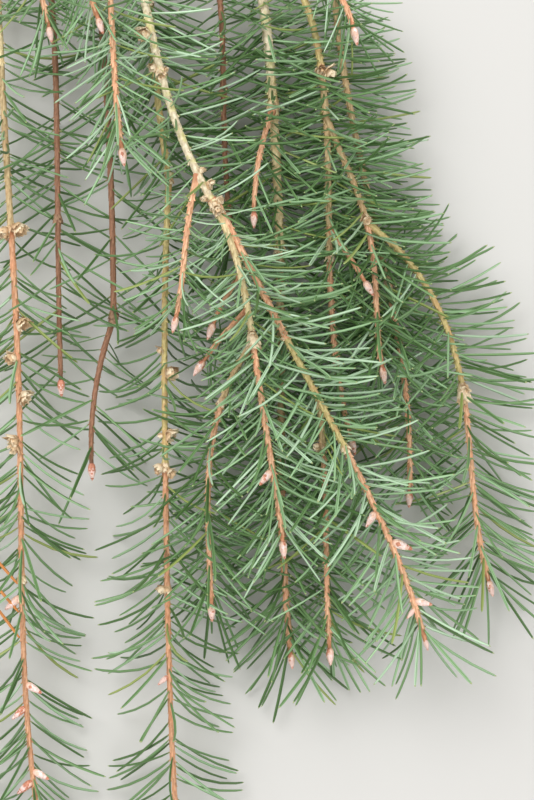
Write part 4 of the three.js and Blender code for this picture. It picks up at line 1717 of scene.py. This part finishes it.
@dataclass
class Shoots:
    """The stems of all shoots of one bed, with the cushions that their needles stand on.

    WEAR turns the cushions' even pattern into rough bark with age, and unevenness is how much a
    stem's girth wanders. A cushion reaches from cushion_front before its needle to cushion_length
    behind, and is full after cushion_rise. Rough bark swings by rough_depth about rough_level, and
    changes round the stem by rough_turn. apart keeps the noise of two shoots apart.
    """

    branch: Branch
    cushions: dict[str, Cushions]
    palette: Palette
    sides: int = 18
    ring_step: float = 0.6
    cushion_height: float = 0.34
    cushion_front: float = 0.5
    cushion_rise: float = 0.7
    cushion_length: float = 5.2
    cushion_width: float = 27.0
    bare_share: float = 0.7
    sunk: float = 2.8
    flare_share: float = 0.3
    flare_reach: float = 2.4
    collar_reach: float = 2.4
    collar_wave: float = 0.4
    rough_size: float = 1.1
    rough_turn: float = 1.4
    rough_level: float = 0.5
    rough_depth: float = 0.9
    unevenness: float = 0.1
    uneven_size: float = 2.6
    apart: Pair = (9.0, 5.0)
    peg: PegForm = PegForm()
    peg_lift: float = 0.06
    peg_lean: Pair = (0.82, 0.57)
    peg_sizes: Pair = (0.5, 0.95)
    bare_peg: float = 0.55

    def ridges(self, cushions: Cushions, at: Array) -> Array:
        """Height of the leaf cushions from 0 to 1.

        Args:
            cushions: The cushions.
            at: Distances of the stem's rings.

        Returns:
            The height at each ring's corners.
        """
        height = np.where(cushions.is_leafy, 1.0, self.bare_share)
        back = cushions.at[None] - at[:, None]
        rise = np.clip((back + self.cushion_front) / self.cushion_rise, 0, 1)
        fall = np.clip(1 - np.clip(back, 0, None) / self.cushion_length, 0, 1)
        fade = height[None] * rise * np.sqrt(fall)
        ridges = np.zeros((len(at), self.sides))
        for side in range(self.sides):
            aside = (cushions.turn - side * 360 / self.sides + 180) % 360 - 180
            ridge = np.clip(1 - (aside / self.cushion_width) ** 2, 0, 1)
            ridges[:, side] = (fade * ridge[None]).max(1, initial=0.0)
        return ridges

    def roughness(self, at: Array, own: int) -> Array:
        """Rough bark from 0 to 1.

        Args:
            at: Distances of the stem's rings.
            own: The shoot's number.

        Returns:
            The bark at each ring's corners.
        """
        turns = even_turns(self.sides)
        across = self.rough_turn * np.cos(turns)
        up = self.rough_turn * np.sin(turns) + self.apart[0] * own
        rough = [[noise.noise(Vector((here, *place))) for place in zip(across, up)]
                 for here in at / self.rough_size]
        return np.clip(self.rough_level + self.rough_depth * np.array(rough), 0, 1)

    def stem(self, route: Route) -> Surface:
        """Builds one stem, from inside its carrier's bark to under its bud.

        Args:
            route: The shoot.

        Returns:
            The stem.
        """
        plan = route.plan
        own = self.branch.owners[plan.name]
        seat, leaves_at = self.branch.foot(plan, self.sunk)
        at = np.linspace(seat, plan.length, int((plan.length - seat) / self.ring_step) + 1)
        wave = 1 + self.collar_wave * np.sin(2 * even_turns(self.sides) + own)
        is_old = (plan.carrier == LIMB.name) & (at[:, None] < leaves_at + self.collar_reach * wave)
        ages = np.where(is_old, Age.OLD.value, route.ages(at)[:, None])
        wear = np.vectorize(lambda age: WEAR[Age(age)])(ages)
        relief = self.ridges(self.cushions[plan.name], at) * (1 - wear) + self.roughness(at, own) * wear
        wander = np.array([noise.noise(Vector((here, self.apart[1] * own, 0.0)))
                           for here in at / self.uneven_size])
        girth = route.radius(at) * plan.girth * (1 + self.unevenness * wander)
        swell = self.flare_share * self.branch.route(plan.carrier).girth_at(plan.at)
        flare = swell * np.exp(-np.clip(at - leaves_at, 0, None) / (self.flare_reach + swell))
        radii = (girth + flare)[:, None] + self.cushion_height * relief
        return turned_out(tube(route.frames(at), radii, ages[:-1], relief))

    def build(self, bed: Bed) -> Object:
        """Joins the stems of one bed.

        Args:
            bed: The bed.

        Returns:
            The piece.
        """
        name = f"twigs_{bed.value}"
        mesh = Surface.joined([self.stem(route) for route in self.branch.in_bed(bed)]).mesh(name)
        for age in Age:
            mesh.materials.append(self.palette.barks[age])
        return link_object(name, mesh)

    def pegs(self, bed: Bed, tree: ScatterTree) -> Object:
        """Sets a peg on every leaf cushion of one bed.

        Args:
            bed: The bed.
            tree: The tree that sets pegs.

        Returns:
            The piece.
        """
        parts = []
        for route in self.branch.in_bed(bed):
            name = route.plan.name
            cushions = self.cushions[name]
            chance = np.random.default_rng(RULE.peg_seed + self.branch.owners[name])
            frames = route.frames(cushions.at)
            outward = frames.around(cushions.turn)
            lift = route.radius(cushions.at) * route.plan.girth + self.peg_lift
            axis = frames.along * self.peg_lean[0] + outward * self.peg_lean[1]
            count = len(cushions.at)
            size = chance.uniform(*self.peg_sizes, count)
            size = np.where(cushions.is_leafy, size, self.bare_peg * size)
            parts.append(Places(frames.point + outward * lift[:, None], axis, outward - frames.along, size,
                                np.zeros(count), route.ages(cushions.at)))
        return tree.scatter(f"leaf_pegs_{bed.value}", stacked(parts), [self.peg.mesh()])


@dataclass
class NeedleBeds:
    """The needles of each bed, set on their points by geometry nodes."""

    branch: Branch
    needles: dict[str, Needles]
    tree: ScatterTree
    form: NeedleForm = NeedleForm()
    dead_form: NeedleForm = NeedleForm(half_width=1.5, half_thickness=1.2)
    bends: Series = (-8.0, 0.0, 8.0, 16.0, 24.0, 32.0, 40.0, 50.0)
    twist: float = 0.12
    lift: float = 0.45

    def build(self, bed: Bed) -> Object:
        """Joins the needles of one bed.

        Args:
            bed: The bed.

        Returns:
            The piece.
        """
        needles = stacked([self.needles[route.plan.name] for route in self.branch.in_bed(bed)])
        form = np.abs(needles.bend[:, None] - np.array(self.bends)[None]).argmin(1)
        form = np.where(needles.tint == Tint.DEAD.value, len(self.bends), form)
        places = Places(needles.root + self.lift * needles.out, needles.out, needles.away,
                        (needles.length - self.lift) / self.form.length, form, needles.tint)
        forms = [*(self.form.mesh(bend) for bend in self.bends), self.dead_form.mesh(0.0)]
        return self.tree.scatter(f"needles_{bed.value}", places, forms, self.twist, RULE.seed)


@dataclass(frozen=True)
class BudSize:
    """A bud's sizes, and how far it leans from the shoot's direction, in degrees."""

    length: float
    radius: float
    sunk: float
    forward: float = 0.0
    forward_spread: float = 0.0


@dataclass(frozen=True)
class BudPlace:
    """One bud: its foot, direction and side direction, its sizes, and its shares of scale colours."""

    foot: Array
    axis: Array
    across: Array
    length: float
    radius: float
    red: float
    blush: float


@dataclass(frozen=True)
class ScaleRows:
    """How a bud's scales lie in rows from its foot to its tip.

    first and last are where the end rows start as shares of the bud's length, ahead how much
    further on the slope is read, and seat the share of the radius that they lie at, less sunk.
    Each row is turned by stagger of a step. size and taper are for a bud of full_length, and rows
    from thin_from on have one scale less. red and blush are each row's shares of those colours.
    """

    around: int = 6
    first: float = 0.02
    last: float = 0.78
    ahead: float = 0.2
    seat: float = 0.86
    sunk: float = 0.3
    stagger: float = 0.5
    turn_spread: float = 0.1
    tilt_spread: float = 0.07
    size: float = 0.86
    taper: float = 0.3
    full_length: float = 6.8
    thin_from: int = 4
    red: Series = (0.3, 0.05, 0.0, 0.02, 0.22, 0.8)
    blush: Series = (0.9, 0.35, 0.0, 0.0, 0.3, 0.6)


@dataclass(frozen=True)
class ScaleRing:
    """A ring of husk scales: how many, how far they open in degrees, and their size."""

    count: int
    opening: float
    size: float
    ahead: float = 0.0
    tan_share: float = 0.5


@dataclass(frozen=True)
class HuskRings:
    """The rings of a cup or collar, and how its scales stray.

    Each ring is turned by stagger of a step. seat is how far from a cup's middle, or from the bark
    in a collar, the scales stand. turn_spread and open_spread are in degrees, and sizes the least
    and greatest size beside the ring's.
    """

    rings: tuple[ScaleRing, ...]
    stagger: float
    seat: float
    turn_spread: float
    open_spread: float
    ahead_spread: float = 0.0
    sizes: Pair = (1.0, 1.0)


@dataclass
class Buds:
    """The scaly buds at tips and sides, and the papery husks of old buds."""

    branch: Branch
    palette: Palette
    tree: ScatterTree
    tip: BudSize = BudSize(6.9, 1.62, 1.2)
    side: BudSize = BudSize(7.6, 1.66, 0.3, RULE.bud_forward, 9.0)
    sizes: Pair = (0.9, 1.06)
    tip_red: float = 0.16
    tip_blush: float = 0.7
    side_blush: float = 0.12
    pale_husks: float = 0.35
    scale: ScaleForm = ScaleForm()
    scale_curl: float = 4.0
    husk: ScaleForm = ScaleForm(3.0, 2.7, 0.13, 0.6, 5, (0.5, 0.82, 1.0, 0.96, 0.62), 0.34)
    husk_curls: Series = (6.0, -10.0, 34.0)
    husk_phase: float = 1.9
    core_sides: int = 12
    core_share: float = 0.9
    profile: tuple[Pair, ...] = (
        (0.0, 0.5), (0.12, 0.8), (0.3, 1.0), (0.5, 0.96), (0.7, 0.7), (0.88, 0.34), (1.0, 0.03))
    rows: ScaleRows = ScaleRows()
    cup_lean: Pair = (0.72, 0.7)
    cups: HuskRings = HuskRings(
        (ScaleRing(5, 12.0, 1.25, 0.3, 0.5), ScaleRing(5, 30.0, 1.15, 0.0, 0.3),
         ScaleRing(4, 58.0, 0.6, 0.0, 1.0)),
        stagger=0.4, seat=0.55, turn_spread=math.degrees(0.25), open_spread=9.0, sizes=(0.75, 1.15))
    collars: HuskRings = HuskRings(
        (ScaleRing(6, 7.0, 0.62, -1.8, 0.7), ScaleRing(6, 12.0, 0.66, -0.8, 0.5),
         ScaleRing(6, 18.0, 0.6, 0.2, 0.4)),
        stagger=0.5, seat=-0.05, turn_spread=12.0, open_spread=7.0, ahead_spread=0.3)

    def __post_init__(self) -> None:
        """Starts the random draws."""
        self.chance = np.random.default_rng(RULE.seed)

    def stray(self, most: float) -> float:
        """A random amount up to most, either way."""
        return self.chance.uniform(-most, most)

    @staticmethod
    def square_to(axis: Array, frames: Frames) -> Array:
        """A direction square to an axis and level with the shoot that it stands on."""
        return unit(np.cross(axis, frames.up[0] + BARELY * frames.across[0]))

    @staticmethod
    def opened(axis: Array, outward: Array, angle: float) -> tuple[Array, Array]:
        """Directions of a scale's length and back, opened outward from an axis by radians."""
        return swing(axis, outward, angle), swing(outward, -axis, angle)

    def bud_places(self) -> list[BudPlace]:
        """Draws every bud's place, direction, sizes and colours.

        Returns:
            The buds.
        """
        found = []
        for route in self.branch.shoots.values():
            plan = route.plan
            rows = [(at, side, self.side, size, red, self.side_blush) for at, side, size, red in plan.buds]
            if not plan.budless:
                # Tip buds on shoots with SHADE foliage are all red-brown scales, as painted shade.
                red = 1.0 if plan.foliage is Foliage.SHADE else self.tip_red
                rows.append((plan.length, 0, self.tip, plan.tip_bud, red, self.tip_blush))
            for at, side, bud, size, red, blush in rows:
                frames = route.place(at)
                foot, outward, along = route.on_side(at, side)
                axis = swing(along, outward, math.radians(bud.forward + self.stray(bud.forward_spread)))
                foot = (foot if side else frames.point[0]) - axis * bud.sunk
                size *= self.chance.uniform(*self.sizes)
                across = self.square_to(axis, frames)
                found.append(BudPlace(foot, axis, across, bud.length * size, bud.radius * size, red, blush))
        return found

    def bodies(self) -> Surface:
        """Builds the smooth cores that the bud scales lie on.

        Returns:
            The cores.
        """
        share, girth = np.array(self.profile).T
        cores = []
        for bud in self.bud_places():
            point = bud.foot[None] + bud.axis[None] * (share * bud.length)[:, None]
            frames = Frames.square(point, bud.axis, bud.across)
            radii = (girth * bud.radius * self.core_share)[:, None] * np.ones((1, self.core_sides))
            cores.append(turned_out(tube(frames, radii)))
        return Surface.joined(cores)

    def scales(self) -> Places:
        """Lays every bud scale, in rows that overlap from foot to tip.

        Returns:
            Their places.
        """
        style = self.rows
        found = []
        for bud in self.bud_places():
            up = np.cross(bud.across, bud.axis)
            for row, (red, blush) in enumerate(zip(style.red, style.blush)):
                share = style.first + (style.last - style.first) * row / (len(style.red) - 1)
                girth, ahead = np.interp((share, share + style.ahead), *zip(*self.profile))
                closing = math.atan2((girth - ahead) * bud.radius, style.ahead * bud.length)
                size = (style.size - style.taper * row / len(style.red)) * bud.length / style.full_length
                seat = girth * bud.radius * style.seat - style.sunk
                around = style.around - (row >= style.thin_from)
                for step in range(around):
                    angle = 2 * math.pi * (step + style.stagger * row) / around
                    outward = swing(bud.across, up, angle + self.stray(style.turn_spread))
                    tilt = self.chance.uniform(0.0, style.tilt_spread) - closing
                    place = bud.foot + bud.axis * share * bud.length + outward * seat
                    kind = Scale.BLUSH if self.chance.random() < max(bud.blush, blush) else Scale.PINK
                    if self.chance.random() < max(bud.red, red):
                        kind = Scale.RED
                    found.append((place, *self.opened(bud.axis, outward, tilt), size, 0, kind.value))
        return self.places(found)

    def husks(self) -> Places:
        """Lays the husk scales: open cups at old side buds, and collars at the joints.

        Returns:
            Their places.
        """
        found = []
        for route in self.branch.shoots.values():
            for at, side, size in route.plan.husks:
                found += self.cup(route, at, side, size)
            ends = (route.plan.length,) if route.plan.budless else ()
            for joint in (*route.plan.joints, *ends):
                found += self.collar(route, joint)
        return self.places(found)

    def husk_tint(self, route: Route, ring: ScaleRing) -> int:
        """Draws the colour of one husk scale.

        Args:
            route: Its shoot.
            ring: Its ring.

        Returns:
            The value of Scale.
        """
        pale = self.pale_husks if route.plan.bed in (Bed.FRONT, Bed.RIGHT) else 1.0
        tint = Scale.HUSK if self.chance.random() < ring.tan_share * pale else Scale.CREAM
        # Husks on shoots with SHADE foliage take the darker husk colour, as painted shade.
        return (Scale.DUN if route.plan.foliage is Foliage.SHADE else tint).value

    def cup(self, route: Route, at: float, side: int, size: float) -> list[tuple]:
        """Lays one open cup of papery scales.

        Args:
            route: The shoot.
            at: Distance along it.
            side: Its side of the shoot, as for on_side.
            size: Its size beside the usual.

        Returns:
            A row for each scale.
        """
        style = self.cups
        foot, outward, along = route.on_side(at, side)
        axis = unit(outward * self.cup_lean[0] + along * self.cup_lean[1])
        across = self.square_to(axis, route.place(at))
        up = np.cross(across, axis)
        found = []
        for layer, ring in enumerate(style.rings):
            for step in range(ring.count):
                turn = 360 * (step + style.stagger * layer) / ring.count + self.stray(style.turn_spread)
                around = swing(across, up, math.radians(turn))
                open_by = math.radians(ring.opening + self.stray(style.open_spread))
                tint = self.husk_tint(route, ring)
                place = foot + (axis * ring.ahead + around * style.seat) * size
                own = ring.size * size * self.chance.uniform(*style.sizes)
                form = int(self.chance.integers(len(self.husk_curls)))
                found.append((place, *self.opened(axis, around, open_by), own, form, tint))
        return found

    def collar(self, route: Route, at: float) -> list[tuple]:
        """Lays a collar of short scales round a shoot, where its old tip bud opened.

        Args:
            route: The shoot.
            at: Distance along it.

        Returns:
            A row for each scale.
        """
        style = self.collars
        own = route.plan.collar
        found = []
        for layer, ring in enumerate(style.rings):
            for step in range(ring.count):
                here = at + ring.ahead * own + self.stray(style.ahead_spread)
                frames = route.place(here)
                turn = 360 * (step + style.stagger * layer) / ring.count + self.stray(style.turn_spread)
                outward = frames.around(np.array([turn]))[0]
                open_by = math.radians(ring.opening + self.stray(style.open_spread))
                seat = route.girth_at(here) * route.plan.girth + style.seat
                directions = self.opened(frames.along[0], outward, open_by)
                tint = self.husk_tint(route, ring)
                found.append((frames.point[0] + outward * seat, *directions, ring.size * own, 0, tint))
        return found

    @staticmethod
    def places(rows: Iterable[tuple]) -> Places:
        """Rows of place, direction, back, size, form and tint as arrays."""
        return Places(*(np.array(column) for column in zip(*rows)))

    def build(self) -> list[Object]:
        """Builds the cores, the bud scales and the husks.

        Returns:
            The three pieces.
        """
        cores = self.bodies().mesh("bud_cores")
        cores.materials.append(self.palette.scales[Scale.PINK])
        self.chance = np.random.default_rng(RULE.seed)
        scales = self.tree.scatter("bud_scales", self.scales(), [self.scale.mesh(self.scale_curl)])
        forms = [self.husk.mesh(curl, self.husk_phase * index)
                 for index, curl in enumerate(self.husk_curls)]
        husks = self.tree.scatter("papery_husks", self.husks(), forms)
        return [link_object("bud_cores", cores), scales, husks]


@dataclass(frozen=True)
class Limb:
    """The bark-covered limb and its sawn end.

    Flakes are cells of noise whose rims warp bends. They are longer along the limb the smaller
    flake_stretch is. Cracks open where two cells meet, the narrower the greater crack_sharpness.
    The bark is crack_share cracks, and fine roughness otherwise. cut_rings are the sizes of the
    cut's rings, the first of them bark.
    """

    branch: Branch
    palette: Palette
    sides: int = 84
    ring_step: float = 0.45
    relief_depth: float = 0.42
    flake_size: float = 3.1
    flake_stretch: float = 0.55
    warp: float = 0.35
    warp_scale: float = 1.7
    warp_apart: float = 31.7
    crack_sharpness: float = 5.0
    crack_share: float = 0.72
    fine_scale: float = 0.9
    fine_noise: tuple[float, float, int] = (0.8, 2.1, 3)
    cut_rings: Series = (1.0, 0.96, 0.6, 0.3, 0.1)

    def stray(self, place: Vector) -> Vector:
        """Noise along each axis, from places apart, because noise_vector differs from run to run."""
        return Vector([noise.noise(place + Vector((0, self.warp_apart * axis, 0))) for axis in range(3)])

    def relief(self, points: Array) -> Array:
        """Bark relief from 0 in the cracks to 1 on the flakes.

        Args:
            points: Places in millimetres.

        Returns:
            The relief at each.
        """
        relief = np.zeros(len(points))
        for index, point in enumerate(points):
            warped = Vector(point / self.flake_size)
            warped.x *= self.flake_stretch
            warped += self.warp * self.stray(warped * self.warp_scale)
            (nearest, second, *_), _ = noise.voronoi(warped)
            crack = min(1.0, (second - nearest) * self.crack_sharpness)
            fine = (1 + noise.fractal(Vector(point) * self.fine_scale, *self.fine_noise)) / 2
            relief[index] = self.crack_share * crack + (1 - self.crack_share) * fine
        return np.clip(relief, 0, 1)

    def build(self) -> Object:
        """Builds the limb with its bark relief and flat sawn end.

        Returns:
            The piece.
        """
        route = self.branch.limb
        at = np.linspace(0, route.plan.length, int(route.plan.length / self.ring_step) + 1)
        frames = route.frames(at)
        base = route.radius(at)[:, None] * np.ones((1, self.sides))
        around = frames.rings(even_turns(self.sides))
        skin = frames.point[:, None] + around * base[..., None]
        relief = self.relief(skin.reshape(-1, 3)).reshape(base.shape)
        radii = base - self.relief_depth * (1 - relief)
        bark = tube(frames, radii, relief=relief, closed=(False, True))
        cut = self.cut_face(frames.point[0], around[0] * radii[0][:, None])
        mesh = turned_out(Surface.joined([bark, cut])).mesh("limb_bark")
        mesh.materials.append(self.palette.barks[Age.OLD])
        mesh.materials.append(CutWoodFinish().material(self.palette.grain, Vector(frames.point[0] * MM)))
        return link_object("limb_bark", mesh)

    def cut_face(self, middle: Array, rim: Array) -> Surface:
        """The flat sawn face, as rings that close the limb's start.

        Args:
            middle: The middle of the cut.
            rim: The places of the rim's corners beside the middle.

        Returns:
            The face, its outermost ring in the bark's slot and the rest in the wood's.
        """
        sizes = np.array(self.cut_rings)
        rings = middle + sizes[:, None, None] * rim[None]
        corners = np.concatenate([rings.reshape(-1, 3), middle[None]])
        side = np.arange(self.sides)
        after = (side + 1) % self.sides
        faces = []
        for start in range(0, (len(sizes) - 1) * self.sides, self.sides):
            end = start + self.sides
            faces.append(np.stack([start + side, start + after, end + after, end + side], 1))
        last = len(corners) - 1 - self.sides
        faces.append(np.stack([last + side, last + after, np.full(self.sides, len(corners) - 1)], 1))
        slots = [np.full(self.sides, min(ring, 1)) for ring in range(len(faces))]
        return Surface(corners, faces, slots, np.ones(len(corners)))


@dataclass(frozen=True)
class Lamp:
    """A soft area light that points at the middle: its place and size in metres, and its power."""

    name: str
    place: tuple[float, float, float]
    size: float
    power: float


@dataclass(frozen=True)
class Studio:
    """The plain floor, the soft lights and the camera that looks down on the branch.

    floor_size and clip_start are in metres, and camera_height, level, pixel and sensor in
    millimetres. cut_pixel is where the limb's cut would lie in the photographed frame.
    """

    floor_size: float = 6.0
    floor: PlainFinish = PlainFinish("floor", (0.66, 0.65, 0.63), 0.9, 0.2)
    lamps: tuple[Lamp, ...] = (Lamp("key_light", (-0.7, 0.9, 1.5), 1.2, 26.0),
                               Lamp("fill_light", (0.9, -0.6, 1.3), 1.4, 9.0))
    surround: Colour = (1.0, 0.99, 0.97)
    surround_strength: float = 0.6
    camera_height: float = 950.0
    level: float = 40.0
    pixel: float = 0.38
    frame_pixels: tuple[int, int] = (534, 800)
    cut_pixel: Pair = (-92.0, -92.0)
    sensor: float = 36.0
    clip_start: float = 0.05

    def build_floor(self) -> Object:
        """Builds the floor that the branch lies on.

        Returns:
            The floor.
        """
        half = self.floor_size / 2
        corners = [(-half, -half, 0), (half, -half, 0), (half, half, 0), (-half, half, 0)]
        mesh = bpy.data.meshes.new("floor")
        mesh.from_pydata(corners, [], [(0, 1, 2, 3)])
        mesh.materials.append(self.floor.material())
        return link_object("floor", mesh)

    def build_lights(self) -> None:
        """Hangs the soft lights and sets an even pale surround."""
        for lamp in self.lamps:
            data = bpy.data.lights.new(lamp.name, "AREA")
            data.size = lamp.size
            data.energy = lamp.power
            light = link_object(lamp.name, data)
            light.location = lamp.place
            light.rotation_euler = (-Vector(lamp.place)).to_track_quat("-Z", "Y").to_euler()
        world = bpy.data.worlds.new("pale_surround")
        world.use_nodes = True
        background = world.node_tree.nodes["Background"]
        background.inputs["Color"].default_value = (*self.surround, 1.0)
        background.inputs["Strength"].default_value = self.surround_strength
        bpy.context.scene.world = world
        bpy.context.scene.view_settings.view_transform = "Standard"

    def build_camera(self, origin: Array) -> None:
        """Sets the camera straight over the photographed stretch.

        Args:
            origin: Where the middle of the limb's cut, dropped to the floor, lies, in millimetres.
        """
        data = bpy.data.cameras.new("camera")
        data.sensor_width = self.sensor
        data.lens = self.sensor * self.camera_height / (self.frame_pixels[1] * self.pixel)
        data.clip_start = self.clip_start
        camera = link_object("camera", data)
        middle_x = (self.frame_pixels[0] / 2 - self.cut_pixel[0]) * self.pixel
        middle_y = (self.frame_pixels[1] / 2 - self.cut_pixel[1]) * -self.pixel
        place = origin + np.array((middle_x, middle_y, self.level + self.camera_height))
        camera.location = Vector(place * MM)
        bpy.context.scene.camera = camera


def declare(piece: Object, nodes: Iterable[str]) -> None:
    """Ties a piece to the branch's one body and hides the solids that it stands for.

    Args:
        piece: The piece.
        nodes: The solids that it stands for.
    """
    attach(piece, BODY)
    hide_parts(*sorted(set(nodes)))
    piece.data.calc_loop_triangles()
    LOG.info("%s: %d triangles", piece.name, len(piece.data.loop_triangles))


def main() -> None:
    """Builds the branch, its studio and the camera."""
    logging.basicConfig(level=logging.INFO, format="%(message)s")
    studio = Studio()
    studio.build_floor()
    studio.build_lights()
    studio.build_camera(construction_origin())
    branch = Branch()
    palette = Palette()
    grower = Grower(branch)
    cushions = {name: grower.cushions(route) for name, route in branch.shoots.items()}
    needles = {name: grower.grow(route, cushions[name]) for name, route in branch.shoots.items()}
    LOG.info("%d needles", sum(len(grown.tint) for grown in needles.values()))
    needle_tree = ScatterTree("set_needles", palette.needle_picks())
    peg_tree = ScatterTree("set_leaf_pegs", palette.tint_picks(palette.barks))
    scale_tree = ScatterTree("set_scales", palette.tint_picks(palette.scales))
    beds = NeedleBeds(branch, needles, needle_tree)
    shoots = Shoots(branch, cushions, palette)
    for bed in Bed:
        nodes = [route.plan.node for route in branch.in_bed(bed)]
        declare(beds.build(bed), nodes)
        declare(shoots.build(bed), nodes)
        declare(shoots.pegs(bed, peg_tree), nodes)
    every_node = [plan.node for plan in SHOOTS]
    for piece in Buds(branch, palette, scale_tree).build():
        declare(piece, every_node)
    declare(Limb(branch, palette).build(), [LIMB.name])


if __name__ == "__main__":
    main()
